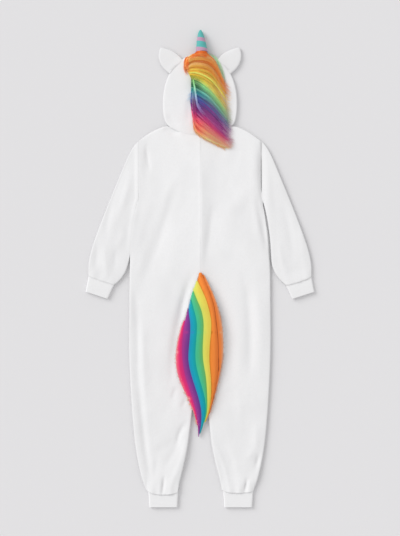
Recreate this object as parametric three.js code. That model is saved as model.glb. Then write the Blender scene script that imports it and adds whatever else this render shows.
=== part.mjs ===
import * as THREE from "three";

// A child's unicorn onesie in plush fleece, laid flat face down with its back up: a hood with a horn, two ears
// and a rainbow mane, long sleeves and legs with cuffs, a buttoned front and a rainbow tail.
// Millimetres. +Z is up off the surface it lies on, +Y runs from the ankles to the horn, and x = 0 is the
// centre back seam. Left is the wearer's left, at negative x.

const { clamp, lerp, smoothstep, degToRad } = THREE.MathUtils;

// ---------------------------------------------------------------- driving sizes

const cloth = 2.6; // plush fleece
const seam = 0.3; // gap between two pieces at a seam
const layFlat = 9; // height of the front and the back laid on each other
const seamHeight = 4.5; // height of the side seams, where front and back meet
const crownHeight = 14; // height of the hood's rim where the horn holds it up
const crownFullness = 13; // how much higher the hood stands beside the horn
const roll = 5; // radius of a rolled side edge
const crotchY = -346;
const ankleY = -620;
const armholeTop = { x: 171, y: 357 };
const armholeFoot = { x: 171.5, y: 196 };
const neck = { halfWidth: 90, y: 399, backDip: 28, frontDip: 70 };
const placket = { overlap: 13, endY: -190, recess: 2.4, lap: 5.7, backRise: 3.2, halfWidth: 34 };
const button = { count: 5, radius: 9, thickness: 2, firstY: 290, lastY: -150 };
const hood = { halfWidth: 105, centreY: 480, crown: 120, nape: 157, seamTopY: 572 };
const faceOpening = { halfWidth: 46, centreY: 443, halfHeight: 113, chinAngle: -81 };
const wristCuff = { length: 43, seamWidth: 76, hemWidth: 66, cloth: 2.8 };
const ankleCuff = { length: 47.9, seamWidth: 85, hemWidth: 79, leftCentre: 102.5, rightCentre: 107, cloth: 2.8 };
const tailFullness = 17;
const horn = { length: 65, baseRadius: 18, tipRadius: 2.6, baseX: 5, tipX: 1, droop: 9.5, pitch: 34 };
const ear = { cloth: 2.2, height: 8.4, roll: 4 };

// ---------------------------------------------------------------- outline tables

// The side seam's distance from the centre line.
const sideSeam = [
  { y: -620, x: 151 },
  { y: -603, x: 158.5 },
  { y: -564, x: 170 },
  { y: -480, x: 183.5 },
  { y: -368, x: 192.6 },
  { y: -228, x: 198.8 },
  { y: -88, x: 198 },
  { y: 1, x: 197.4 },
  { y: 52, x: 194 },
  { y: 108, x: 189 },
  { y: 155, x: 182 },
  { y: 177, x: 177 },
  { y: 196, x: 171.5 },
  { y: 215, x: 171.2 },
  { y: 290, x: 171.1 },
  { y: 357, x: 171 },
];

// The inside leg seam's distance from the centre line, below the crotch.
const insideLeg = [
  { y: -620, x: 60 },
  { y: -603, x: 57 },
  { y: -564, x: 47 },
  { y: -508, x: 34 },
  { y: -452, x: 27 },
  { y: -396, x: 21 },
  { y: -366, x: 13 },
  { y: -352, x: 6 },
  { y: -346, x: 0 },
];

// The sleeve from the armhole to the cuff seam: its outer edge and its underarm edge.
const sleeveSections = [
  { outX: 171.4, outY: 357, underX: 172, underY: 196 },
  { outX: 186, outY: 343, underX: 180, underY: 173 },
  { outX: 201, outY: 315, underX: 185, underY: 148 },
  { outX: 219, outY: 272, underX: 190, underY: 118 },
  { outX: 236, outY: 231, underX: 193, underY: 92 },
  { outX: 253, outY: 190, underX: 195.6, underY: 66 },
  { outX: 271, outY: 145, underX: 197.4, underY: 42 },
  { outX: 289, outY: 98, underX: 199, underY: 20 },
  { outX: 303, outY: 58, underX: 203.5, underY: -2 },
  { outX: 311, outY: 25, underX: 214, underY: -22 },
  { outX: 313.5, outY: -2, underX: 227, underY: -37 },
  { outX: 312.5, outY: -22, underX: 239, underY: -46 },
];

// An ear from its base on the hood to its tip: its edge by the horn and its edge away from it.
const earSections = [
  { hornX: 48, hornY: 587.2, farX: 88.8, farY: 546 },
  { hornX: 62, hornY: 600, farX: 104, farY: 559 },
  { hornX: 76, hornY: 608.5, farX: 114.5, farY: 578 },
  { hornX: 92, hornY: 615, farX: 117.5, farY: 597 },
  { hornX: 107, hornY: 619, farX: 113, farY: 616 },
];

// Folds of the body from start through middle to end, with their reach to each side and their height.
const bodyFolds = [
  { x0: -80, y0: 230, x1: -128, y1: 100, x2: -163, y2: -50, width: 22, rise: -2.6 },
  { x0: -60, y0: 300, x1: -66, y1: 120, x2: -112, y2: -60, width: 30, rise: 2 },
  { x0: -150, y0: 190, x1: -165, y1: 100, x2: -182, y2: 20, width: 13, rise: 2.6 },
  { x0: -163, y0: -30, x1: -182, y1: -200, x2: -158, y2: -440, width: 11, rise: -2.6 },
  { x0: -158, y0: -120, x1: -162, y1: -260, x2: -140, y2: -420, width: 15, rise: 1.8 },
  { x0: 4, y0: 300, x1: 6, y1: 150, x2: 3, y2: -4, width: 8, rise: 2.2 },
  { x0: 34, y0: 225, x1: 32, y1: 120, x2: 10, y2: 6, width: 13, rise: -2.6 },
  { x0: 136, y0: 226, x1: 108, y1: 186, x2: 66, y2: 132, width: 24, rise: 2.6 },
  { x0: 122, y0: 0, x1: 140, y1: -140, x2: 138, y2: -296, width: 11, rise: -2.6 },
  { x0: 166, y0: -10, x1: 172, y1: -170, x2: 168, y2: -330, width: 15, rise: 2.2 },
  { x0: 98, y0: -60, x1: 112, y1: -190, x2: 104, y2: -330, width: 17, rise: 1.6 },
  { x0: 168, y0: -430, x1: 160, y1: -480, x2: 148, y2: -520, width: 10, rise: 2.2 },
  { x0: -36, y0: -428, x1: -56, y1: -456, x2: -66, y2: -496, width: 7, rise: -2.6 },
  { x0: -66, y0: -492, x1: -98, y1: -512, x2: -134, y2: -532, width: 13, rise: -2 },
  { x0: -38, y0: -440, x1: -46, y1: -530, x2: -92, y2: -612, width: 12, rise: 3 },
  { x0: -58, y0: -330, x1: -66, y1: -380, x2: -76, y2: -430, width: 9, rise: 2.4 },
  { x0: -76, y0: -326, x1: -74, y1: -356, x2: -80, y2: -396, width: 9, rise: -2.4 },
  { x0: 160, y0: -520, x1: 156, y1: -540, x2: 150, y2: -560, width: 6, rise: -2.6 },
  { x0: 166, y0: -536, x1: 160, y1: -574, x2: 146, y2: -612, width: 8, rise: 2.6 },
  { x0: 134, y0: -592, x1: 130, y1: -606, x2: 124, y2: -619, width: 5, rise: -2.6 },
  { x0: 33, y0: -486, x1: 42, y1: -550, x2: 80, y2: -610, width: 9, rise: 2 },
  { x0: 56, y0: -470, x1: 66, y1: -530, x2: 92, y2: -580, width: 14, rise: -1.8 },
  { x0: -152, y0: 334, x1: -152, y1: 296, x2: -148, y2: 252, width: 5, rise: -2.6 },
  { x0: -164, y0: 345, x1: -163, y1: 280, x2: -158, y2: 200, width: 9, rise: 2.2 },
  { x0: 150, y0: 345, x1: 150, y1: 268, x2: 148, y2: 200, width: 9, rise: 2 },
  { x0: 104, y0: 345, x1: 92, y1: 318, x2: 74, y2: 270, width: 20, rise: 1.4 },
  { x0: -104, y0: -120, x1: -100, y1: -190, x2: -108, y2: -270, width: 24, rise: 1.6 },
];

// Folds of the sleeves.
const sleeveFolds = [
  { x0: -188, y0: 326, x1: -226, y1: 222, x2: -262, y2: 140, width: 8, rise: -2 },
  { x0: -196, y0: 250, x1: -232, y1: 150, x2: -262, y2: 60, width: 16, rise: 1.8 },
  { x0: -290, y0: 84, x1: -290, y1: 44, x2: -292, y2: 0, width: 9, rise: -2 },
  { x0: -272, y0: 60, x1: -264, y1: 20, x2: -262, y2: -24, width: 11, rise: 2 },
  { x0: -230, y0: 90, x1: -236, y1: 50, x2: -238, y2: 0, width: 8, rise: -1.6 },
  { x0: 200, y0: 300, x1: 228, y1: 200, x2: 252, y2: 110, width: 13, rise: 1.6 },
  { x0: 226, y0: 190, x1: 250, y1: 100, x2: 262, y2: 20, width: 10, rise: -1.8 },
  { x0: 280, y0: 120, x1: 294, y1: 60, x2: 298, y2: 0, width: 9, rise: 1.6 },
  { x0: 222, y0: 60, x1: 236, y1: 10, x2: 250, y2: -34, width: 9, rise: 2 },
];

// The mane's locks run from the hood's seam to their tips on the wearer's right: one row for each edge that
// two colours share, from root over crest and bend to tip, with the colour that lies below it.
const maneEdges = [
  { root: [-43, 567], crest: [-25, 596], bend: [38, 588], tip: [69, 517], below: "orange" },
  { root: [-36, 554], crest: [-8, 556], bend: [31, 543], tip: [70, 491], below: "yellow" },
  { root: [-25, 531], crest: [-3, 525], bend: [34, 497], tip: [71, 449], below: "green" },
  { root: [-25, 514], crest: [-3, 505], bend: [34, 477], tip: [73, 427], below: "teal" },
  { root: [-25, 486], crest: [-3, 477], bend: [34, 452], tip: [76, 405], below: "purple" },
  { root: [-27, 466], crest: [-6, 447], bend: [31, 410], tip: [76, 367], below: "magenta" },
  { root: [-25, 447], crest: [-6, 427], bend: [28, 396], tip: [76, 355], below: "red" },
  { root: [-22, 427], crest: [-6, 408], bend: [28, 380], tip: [74, 346], below: "amber" },
  { root: [-18, 405], crest: [-9, 380], bend: [25, 358], tip: [70, 338], below: "" },
];

// The tail's edges and the edges between its stripes, from the tip up to where it is sewn on.
const tailSections = [
  { y: -472, left: -5, pink: -4.6, purple: -3.4, teal: -2.6, green: -2.2, yellow: -1.8, orange: -1.4, right: -1 },
  { y: -441, left: -8, pink: -5.6, purple: 2.4, teal: 8.6, green: 9.3, yellow: 10, orange: 10.7, right: 11.2 },
  { y: -406, left: -16, pink: -9, purple: 5, teal: 16.6, green: 19.4, yellow: 24, orange: 26.4, right: 27.6 },
  { y: -356, left: -38, pink: -23, purple: -5, teal: 13, green: 20, yellow: 31, orange: 39, right: 41 },
  { y: -301, left: -62, pink: -41, purple: -23, teal: -3.5, green: 16.5, yellow: 30, orange: 50, right: 55 },
  { y: -253, left: -68, pink: -49, purple: -33, teal: -13, green: 8, yellow: 25.5, orange: 51, right: 64 },
  { y: -203, left: -63, pink: -49.5, purple: -29, teal: -11, green: 8, yellow: 28, orange: 50, right: 65 },
  { y: -153, left: -49, pink: -43, purple: -26.5, teal: -8, green: 10.5, yellow: 32, orange: 45, right: 61.5 },
  { y: -110, left: -34, pink: -34, purple: -33, teal: -18, green: 2.5, yellow: 24, orange: 40, right: 51 },
  { y: -84, left: -27, pink: -27, purple: -27, teal: -27, green: -10, yellow: 16.5, orange: 34, right: 43 },
  { y: -60, left: -20, pink: -20, purple: -20, teal: -20, green: -20, yellow: 5, orange: 24, right: 32.5 },
  { y: -32, left: -9, pink: -9, purple: -9, teal: -9, green: -9, yellow: -8, orange: 12, right: 19.5 },
  { y: -10, left: -1.5, pink: -1.5, purple: -1.5, teal: -1.5, green: -1.5, yellow: -1.5, orange: 4, right: 6.5 },
];

// Where each stripe of the tail starts and ends, which edges of the table above it lies between, and how much
// fuller than the whole tail it is.
const tailStripes = [
  { name: "pink", from: "left", to: "pink", topY: -146, endY: -438, full: 0.9 },
  { name: "purple", from: "pink", to: "purple", topY: -111, endY: -471, full: 0.5 },
  { name: "teal", from: "purple", to: "teal", topY: -88, endY: -462, full: 0.5 },
  { name: "green", from: "teal", to: "green", topY: -64, endY: -430, full: 0.5 },
  { name: "yellow", from: "green", to: "yellow", topY: -35, endY: -430, full: 0.8 },
  { name: "orange", from: "yellow", to: "orange", topY: -12, endY: -428, full: 1.8 },
  { name: "amber", from: "orange", to: "right", topY: -18, endY: -406, full: 1.6 },
];

const colours = {
  fleece: "#f1f1f2",
  orange: "#f58322",
  yellow: "#ecdc3c",
  green: "#4fc383",
  teal: "#16a5b4",
  purple: "#7b3590",
  magenta: "#c2207c",
  red: "#ee3d4d",
  amber: "#f79a32",
  pink: "#ef2f78",
  horn: "#62c3bd",
  button: "#f4f4f2",
};

// ---------------------------------------------------------------- helpers

// A smooth value at a height from a table in order of y.
function valueAt(table, column, y) {
  const last = table.length - 1;
  const at = clamp(y, table[0].y, table[last].y);
  let i = 0;
  while (i < last - 1 && table[i + 1].y < at) i++;
  const slope = (n) => {
    const before = table[Math.max(n - 1, 0)];
    const after = table[Math.min(n + 1, last)];
    return (after[column] - before[column]) / (after.y - before.y);
  };
  const step = table[i + 1].y - table[i].y;
  const t = (at - table[i].y) / step;
  const rise = t * t * (3 - 2 * t);
  return (
    lerp(table[i][column], table[i + 1][column], rise) +
    step * (slope(i) * t * (1 - t) ** 2 - slope(i + 1) * t * t * (1 - t))
  );
}

// A smooth point along a table of sections, share 0 at its first row and 1 at its last.
function sectionPoint(table, xColumn, yColumn, share) {
  const points = table.map((row) => new THREE.Vector2(row[xColumn], row[yColumn]));
  return new THREE.SplineCurve(points).getPoint(clamp(share, 0, 1));
}

// The folds of a table as curves, each through its middle point.
function foldCurves(table) {
  return table.map((fold) => {
    const start = new THREE.Vector2(fold.x0, fold.y0);
    const middle = new THREE.Vector2(fold.x1, fold.y1);
    const end = new THREE.Vector2(fold.x2, fold.y2);
    const control = middle.clone().multiplyScalar(2).sub(start.clone().add(end).multiplyScalar(0.5));
    return { ...fold, points: new THREE.QuadraticBezierCurve(start, control, end).getPoints(12) };
  });
}

// How high folds stand at a place. Each one is a soft ridge or trough that fades out at its two ends.
function foldRise(folds, x, y) {
  let total = 0;
  for (const fold of folds) {
    let nearest = Infinity;
    let share = 0;
    for (let i = 1; i < fold.points.length; i++) {
      const a = fold.points[i - 1];
      const b = fold.points[i];
      const dx = b.x - a.x;
      const dy = b.y - a.y;
      const t = clamp(((x - a.x) * dx + (y - a.y) * dy) / (dx * dx + dy * dy), 0, 1);
      const away = Math.hypot(x - a.x - t * dx, y - a.y - t * dy);
      if (away < nearest) {
        nearest = away;
        share = (i - 1 + t) / (fold.points.length - 1);
      }
    }
    const ends = smoothstep(share, 0, 0.3) * (1 - smoothstep(share, 0.7, 1));
    total += fold.rise * Math.exp(-((nearest / fold.width) ** 2)) * (0.12 + 0.88 * ends);
  }
  return total;
}

// How an edge turns over, at a share of the way in. Amount 0 leaves it flat, and 1 rolls it to the seam.
function turned(share, amount) {
  const angle = (share * Math.PI) / 2;
  return {
    inset: lerp(share, 1 - Math.cos(angle), amount),
    lift: lerp(1, Math.sin(angle), amount),
  };
}

// The steps across a piece: a rolled zone at each edge and flat cloth between, at the given shares.
function stepsAcross(nearSteps, flatShares, farSteps) {
  const steps = [];
  for (let i = 0; i <= nearSteps; i++) steps.push({ zone: "near", share: i / nearSteps });
  for (const share of flatShares) steps.push({ zone: "flat", share });
  for (let i = farSteps; i >= 0; i--) steps.push({ zone: "far", share: i / farSteps });
  return steps;
}

// Even shares between 0 and 1, without the ends.
function evenShares(cells) {
  return Array.from({ length: cells - 1 }, (_, i) => (i + 1) / cells);
}

// Where a step lies on a line of some length, for the outer and the inner face of the wall, and its lift.
function placed(step, length, nearTurn, farTurn, thickness, radius) {
  if (step.zone === "flat") {
    const share = lerp(radius, length - radius, step.share) / length;
    return { outer: share, inner: share, lift: 1 };
  }
  const amount = step.zone === "near" ? nearTurn : farTurn;
  const { inset, lift } = turned(step.share, amount);
  const shift = thickness * amount;
  const outer = (radius * inset) / length;
  const inner = (shift + (radius - shift) * inset) / length;
  return step.zone === "near" ? { outer, inner, lift } : { outer: 1 - outer, inner: 1 - inner, lift };
}

// A closed solid from two grids of points, the outer and the inner face of a wall. A ring is closed across.
function wallBetween(outer, inner, ring = false) {
  const rows = outer.length;
  const columns = outer[0].length;
  const flat = [...outer.flat(), ...inner.flat()];
  const positions = flat.flatMap((p) => [p.x, p.y, p.z]);
  const faces = [];
  const quad = (a, b, c, d) => faces.push([a, b, c], [a, c, d]);
  const out = (i, j) => i * columns + (j % columns);
  const back = (i, j) => rows * columns + i * columns + (j % columns);
  const lastColumn = ring ? columns : columns - 1;
  for (let i = 0; i < rows - 1; i++) {
    for (let j = 0; j < lastColumn; j++) {
      quad(out(i, j), out(i, j + 1), out(i + 1, j + 1), out(i + 1, j));
      quad(back(i, j), back(i + 1, j), back(i + 1, j + 1), back(i, j + 1));
    }
    if (!ring) {
      quad(out(i, 0), out(i + 1, 0), back(i + 1, 0), back(i, 0));
      quad(out(i + 1, columns - 1), out(i, columns - 1), back(i, columns - 1), back(i + 1, columns - 1));
    }
  }
  for (let j = 0; j < lastColumn; j++) {
    quad(out(0, j + 1), out(0, j), back(0, j), back(0, j + 1));
    quad(out(rows - 1, j), out(rows - 1, j + 1), back(rows - 1, j + 1), back(rows - 1, j));
  }
  const facingOut = signedVolume(flat, faces) > 0;
  const geometry = new THREE.BufferGeometry();
  geometry.setAttribute("position", new THREE.Float32BufferAttribute(positions, 3));
  geometry.setIndex(faces.flatMap(([a, b, c]) => (facingOut ? [a, b, c] : [a, c, b])));
  geometry.computeVertexNormals();
  return geometry;
}

function signedVolume(points, faces) {
  const cross = new THREE.Vector3();
  return faces.reduce((sum, [a, b, c]) => sum + cross.crossVectors(points[b], points[c]).dot(points[a]), 0);
}

// ---------------------------------------------------------------- heights of the laid-out cloth

const bodyFoldCurves = foldCurves(bodyFolds);
const sleeveFoldCurves = foldCurves(sleeveFolds);
const deepestTrough = -2.6;

// How much of the button placket's thickness lies under the back at a place.
function overPlacket(x, y) {
  const across = Math.exp(-((x / placket.halfWidth) ** 2));
  return across * smoothstep(y, placket.endY - 60, placket.endY);
}

// The cloth puckers where it is drawn in to an ankle cuff.
function ankleGathers(x, y) {
  const near = 1 - smoothstep(y, ankleY, ankleY + 55);
  return 1.5 * near * near * Math.sin(Math.abs(x) / 4.2 + 0.6);
}

// The top of the back panels.
function backHeight(x, y) {
  const lap = overPlacket(x, y);
  const ridge = 1.1 * Math.exp(-((x / 3) ** 2)) * smoothstep(y, crotchY, crotchY + 60);
  const folds = foldRise(bodyFoldCurves, x, y) + ankleGathers(x, y);
  return layFlat + placket.backRise * lap + ridge + Math.max(folds, lerp(deepestTrough, -0.3, lap));
}

// The top of a sleeve. It starts low at the armhole, under the body's rolled edge.
function sleeveHeight(x, y, share) {
  const gathers = 1.3 * smoothstep(share, 0.8, 1) * Math.sin(Math.abs(x) / 3.1);
  const folds = Math.max(foldRise(sleeveFoldCurves, x, y) + gathers, -2);
  return layFlat - 0.4 - 1.4 * (1 - smoothstep(share, 0, 0.2)) + folds * smoothstep(share, 0, 0.15);
}

// How much a place on the hood is held up by the horn's base.
function heldByHorn(x, y) {
  return Math.exp(-(((Math.abs(x) - 2) / 26) ** 2 + ((y - hood.centreY - hood.crown) / 30) ** 2));
}

// The top of the hood: two panels laid on the floor, a little full in the middle.
function hoodHeight(x, y) {
  const across = x / hood.halfWidth;
  const up = (y - hood.centreY) / (y > hood.centreY ? hood.crown : hood.nape);
  const ridge = 1.1 * Math.exp(-((x / 3) ** 2));
  const dent = 0.9 * Math.exp(-(((Math.abs(x) - 74) / 14) ** 2 + ((y - 424) / 22) ** 2));
  const full = 0.8 * Math.max(0, 1 - across ** 2 - up ** 2) + crownFullness * heldByHorn(x, y);
  return layFlat + full + ridge - dent;
}

// The underside of the front panels. The left one laps over the right one, in a recess for the buttons.
function frontHeight(side, x, y) {
  const depth = smoothstep(y, placket.endY - 30, placket.endY);
  const own = x * side;
  const left = placket.recess * (1 - smoothstep(own, 15, 23));
  const right = placket.lap * (1 - smoothstep(own, 16, 33));
  return depth * (side < 0 ? left : right);
}

// ---------------------------------------------------------------- body panels

// The upper edge of a body panel: the neck seam, then the shoulder out to the armhole.
function topEdge(x, dip) {
  const out = Math.abs(x);
  if (out < neck.halfWidth) return neck.y - dip * (1 - (out / neck.halfWidth) ** 2.1);
  const shoulder = (out - neck.halfWidth) / (armholeTop.x - neck.halfWidth);
  return neck.y - (neck.y - armholeTop.y) * shoulder ** 1.6;
}

// One half of the back or the front, from neck and shoulder to the ankle.
function bodyPanel(side, layer) {
  const isBack = layer === "back";
  const dip = isBack ? neck.backDip : neck.frontDip;
  const centreTop = neck.y - neck.backDip;
  const length = centreTop - ankleY - seam;
  const level = isBack ? seamHeight + seam / 2 : seamHeight - seam / 2;

  // The neck point falls on a column, so that the corner between neck and shoulder stays sharp.
  const columnShare = (share) => (share < 0.5 ? share * 1.056 : lerp(0.528, 1, share * 2 - 1));
  const columns = isBack
    ? stepsAcross(3, evenShares(10).map(columnShare), 3)
    : stepsAcross(2, [0.05, 0.11, 0.17, 0.25, 0.36, 0.46, 0.563, 0.78], 2);
  const depths = isBack
    ? [[5, 85, 3], [85, 175, 3], [175, 325, 4], [325, 685, 7], [685, 763, 5], [763, 950, 5], [950, 986, 2]]
    : [[5, 175, 4], [175, 536, 4], [536, 561, 1], [561, 591, 1], [591, 690, 2], [690, 763, 4], [763, 986, 3]];
  const depthShares = depths.flatMap(([from, to, cells]) =>
    Array.from({ length: cells }, (_, i) => (lerp(from, to, (i + 1) / cells) - roll) / (length - 2 * roll)),
  );
  const rows = stepsAcross(isBack ? 3 : 2, depthShares.slice(0, -1), 1);

  const innerEdge = (y) => {
    if (y < crotchY) return Math.max(valueAt(insideLeg, "x", y), 0) + seam / 2;
    if (isBack) return seam / 2;
    return lerp(seam / 2, -placket.overlap, smoothstep(y, placket.endY, placket.endY + 25));
  };
  const place = (down, across) => {
    const depth = down * length;
    const straighten = smoothstep(depth, 0, 150);
    const centreY = lerp(neck.y - dip, centreTop, straighten) - depth;
    const sideY = lerp(armholeTop.y, centreTop, straighten) - depth;
    const near = innerEdge(centreY);
    const far = valueAt(sideSeam, "x", sideY) - (sideY > armholeFoot.y ? seam / 2 : 0);
    // The front's columns keep their places where its placket ends, and only its edge steps in.
    const overlapping = smoothstep(centreY, placket.endY - 110, placket.endY - 30);
    const base = isBack ? near : lerp(near, -placket.overlap, overlapping);
    const own = Math.max(lerp(base, far, across), near + 20 * across);
    const y = lerp(topEdge(own, dip), centreTop, straighten) - depth;
    return { x: side * own, y: Math.max(y, ankleY + seam / 2), near, far, centreY, sideY };
  };
  const point = (row, column, face) => {
    const rough = placed(row, length, 0, 0, cloth, roll);
    const { near, far, centreY, sideY } = place(rough.outer, 0.5);
    const width = far - near;
    const insideTurn = 1 - smoothstep(centreY, crotchY - 22, crotchY + 14);
    const armholeTurn = isBack ? 0.35 : 0;
    const sideTurn = lerp(1, armholeTurn, smoothstep(sideY, armholeFoot.y - 14, armholeFoot.y + 4));
    const across = placed(column, width, insideTurn, sideTurn, cloth, roll);
    const own = lerp(near, far, across.outer);
    const neckTurn = isBack ? 0.25 : 0;
    const shoulderTurn = lerp(neckTurn, 1, smoothstep(Math.abs(own), neck.halfWidth - 8, neck.halfWidth + 8));
    const down = placed(row, length, shoulderTurn, 0, cloth, roll);
    const { x, y } = place(down[face], across[face]);
    const lift = across.lift * down.lift;
    const wall = face === "inner" ? cloth : 0;
    const surface = isBack ? backHeight(x, y) - wall : frontHeight(side, x, y) + wall;
    return new THREE.Vector3(x, y, lerp(level, surface, lift));
  };
  const grid = (face) => rows.map((row) => columns.map((column) => point(row, column, face)));
  return wallBetween(grid("outer"), grid("inner"));
}

// ---------------------------------------------------------------- sleeves and cuffs

// A flattened tube between two edges, open at both ends.
function flatTube({ stations, edges, height, thickness, radius, flatCells }) {
  const overTop = stepsAcross(3, evenShares(flatCells), 3).map((step) => ({ ...step, up: true }));
  const underneath = stepsAcross(2, evenShares(3), 2).reverse().slice(1, -1);
  const around = [...overTop, ...underneath];
  const rows = Array.from({ length: stations + 1 }, (_, i) => i / stations);
  const point = (share, step, face) => {
    const { from, to } = edges(share);
    const across = placed(step, from.distanceTo(to), 1, 1, thickness, radius);
    const at = from.clone().lerp(to, across[face]);
    const wall = face === "inner" ? thickness : 0;
    const surface = step.up ? height(at.x, at.y, share) - wall : wall;
    return new THREE.Vector3(at.x, at.y, lerp(seamHeight, surface, across.lift));
  };
  const grid = (face) => rows.map((share) => around.map((step) => point(share, step, face)));
  return wallBetween(grid("outer"), grid("inner"), true);
}

function sleeve(side) {
  const edges = (share) => {
    const from = sectionPoint(sleeveSections, "outX", "outY", share);
    const to = sectionPoint(sleeveSections, "underX", "underY", share);
    from.x *= side;
    to.x *= side;
    return { from, to };
  };
  return flatTube({ stations: 11, edges, height: sleeveHeight, thickness: cloth, radius: 4.4, flatCells: 6 });
}

// A cuff is a tube in line with the end of its sleeve or leg, centred on the seam and narrower at its hem.
function cuff({ from, to, seamWidth, hemWidth, length, thickness }) {
  const middle = from.clone().add(to).multiplyScalar(0.5);
  const across = to.clone().sub(from).normalize();
  const down = new THREE.Vector2(across.y, -across.x);
  if (down.y > 0) down.negate();
  const edges = (share) => {
    const centre = middle.clone().addScaledVector(down, seam + share * length);
    const half = lerp(seamWidth, hemWidth, share) / 2;
    return { from: centre.clone().addScaledVector(across, -half), to: centre.addScaledVector(across, half) };
  };
  const height = (x, y, share) => layFlat - 0.6 + 0.5 * Math.sin(share * Math.PI);
  return flatTube({ stations: 3, edges, height, thickness, radius: 4.2, flatCells: 5 });
}

function wristCuffOf(side) {
  const end = sleeveSections[sleeveSections.length - 1];
  return cuff({
    from: new THREE.Vector2(side * end.outX, end.outY),
    to: new THREE.Vector2(side * end.underX, end.underY),
    seamWidth: wristCuff.seamWidth,
    hemWidth: wristCuff.hemWidth,
    length: wristCuff.length,
    thickness: wristCuff.cloth,
  });
}

function ankleCuffOf(side) {
  const centre = side < 0 ? ankleCuff.leftCentre : ankleCuff.rightCentre;
  return cuff({
    from: new THREE.Vector2(side * centre - 1, ankleY),
    to: new THREE.Vector2(side * centre + 1, ankleY),
    seamWidth: ankleCuff.seamWidth,
    hemWidth: ankleCuff.hemWidth,
    length: ankleCuff.length,
    thickness: ankleCuff.cloth,
  });
}

// ---------------------------------------------------------------- hood, ears and horn

function hoodOutline(angle) {
  const reach = angle > 0 ? hood.crown : hood.nape;
  return new THREE.Vector2(hood.halfWidth * Math.cos(angle), hood.centreY + reach * Math.sin(angle));
}

function faceEdge(angle) {
  const { halfWidth, centreY, halfHeight } = faceOpening;
  return new THREE.Vector2(halfWidth * Math.cos(angle), centreY + halfHeight * Math.sin(angle));
}

// One half of the hood: from the centre seam over the top, round its rim and under to the face opening.
function hoodPanel(side) {
  const napeAngle = -Math.asin((hood.centreY - neck.y) / hood.nape);
  const overTop = stepsAcross(1, evenShares(5), 3).map((step) => ({ ...step, up: true }));
  const underneath = stepsAcross(2, evenShares(3), 1).slice(1);
  const across = [...overTop, ...underneath];
  const rows = Array.from({ length: 15 }, (_, i) => i / 14);
  const atNeck = (x, dip) => neck.y - dip * (1 - (Math.min(x, neck.halfWidth) / neck.halfWidth) ** 2.1);

  const point = (share, step, face) => {
    const rim = hoodOutline(lerp(Math.PI / 2, napeAngle, share));
    const faceAngle = degToRad(lerp(90, faceOpening.chinAngle, share));
    const start = step.up
      ? new THREE.Vector2(0, lerp(hood.seamTopY, neck.y - neck.backDip, share ** 0.9))
      : faceEdge(faceAngle);
    // Over the top the line runs from the seam to the rim, and underneath from the rim to the face opening.
    const from = step.up ? start : rim;
    const to = step.up ? rim : start;
    const turns = step.up ? [0, 1] : [1, 0];
    const reach = placed(step, from.distanceTo(to), ...turns, cloth, roll);
    const at = from.clone().lerp(to, reach[face]);
    const dip = step.up ? neck.backDip : neck.frontDip;
    at.y = lerp(at.y, atNeck(at.x, dip) + (step.up ? 0.7 : 1.3), share ** 5);
    const wall = face === "inner" ? cloth : 0;
    const neckValley = 1 - 0.25 * smoothstep(share, 0.93, 1);
    const level = lerp(seamHeight, crownHeight, heldByHorn(at.x, at.y));
    const surface = step.up ? lerp(level, hoodHeight(at.x, at.y), neckValley) - wall : wall;
    const x = side * (at.x + seam / 2);
    return new THREE.Vector3(x, at.y, lerp(level, surface, reach.lift));
  };
  const grid = (layer) => rows.map((share) => across.map((step) => point(share, step, layer)));
  return wallBetween(grid("outer"), grid("inner"));
}

// One layer of an ear, its back or its front, with its base against the rim of the hood.
function earPanel(side, layer) {
  const isBack = layer === "back";
  const level = isBack ? ear.height / 2 + seam / 2 : ear.height / 2 - seam / 2;
  const edge = (prefix, share) => sectionPoint(earSections, prefix + "X", prefix + "Y", share);
  const rows = stepsAcross(1, evenShares(4), 2);
  const columns = stepsAcross(2, evenShares(2), 2);
  const place = (up, across) => {
    const at = edge("horn", up).lerp(edge("far", up), across);
    const angle = Math.atan2((at.y - hood.centreY) / hood.crown, at.x / hood.halfWidth);
    const rim = hoodOutline(angle);
    const out = rim.clone().sub(new THREE.Vector2(0, hood.centreY)).normalize();
    const base = rim.addScaledVector(out, 2 * seam + 0.2);
    return at.lerp(base, (1 - clamp(up * 4, 0, 1)) ** 2);
  };
  const point = (row, column, face) => {
    const up = placed(row, 62, 0, 1, ear.cloth, ear.roll);
    const width = edge("horn", up.outer).distanceTo(edge("far", up.outer));
    const [wall, radius] = [Math.min(ear.cloth, width / 3), Math.min(ear.roll, width / 2.5)];
    const across = placed(column, width, 1, 1, wall, radius);
    const at = place(up[face], across[face]);
    const depth = face === "inner" ? ear.cloth : 0;
    const surface = isBack ? ear.height - depth : depth;
    return new THREE.Vector3(side * at.x, at.y, lerp(level, surface, across.lift * up.lift));
  };
  const grid = (face) => rows.map((row) => columns.map((column) => point(row, column, face)));
  return wallBetween(grid("outer"), grid("inner"));
}

// The stuffed horn: a cone wound with a cord of cloth, so that a rounded ridge climbs round it.
function hornCone() {
  const profile = [new THREE.Vector2(0, 0)];
  const rings = 16;
  for (let i = 0; i <= rings; i++) {
    const share = i / rings;
    const radius = lerp(horn.tipRadius, horn.baseRadius, (1 - share) ** 0.6);
    profile.push(new THREE.Vector2(radius, share * horn.length));
  }
  profile.push(new THREE.Vector2(0, horn.length + horn.tipRadius * 0.8));
  const geometry = new THREE.LatheGeometry(profile, 18);
  const position = geometry.getAttribute("position");
  for (let i = 0; i < position.count; i++) {
    const [x, y, z] = [position.getX(i), position.getY(i), position.getZ(i)];
    const winding = Math.abs(Math.sin((Math.PI * y) / (horn.pitch / 2) + Math.atan2(z, x) / 2));
    const bulge = 0.93 + 0.07 * winding;
    position.setXYZ(i, x * bulge, y, z * bulge);
  }
  return geometry;
}

// ---------------------------------------------------------------- mane and tail

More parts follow.
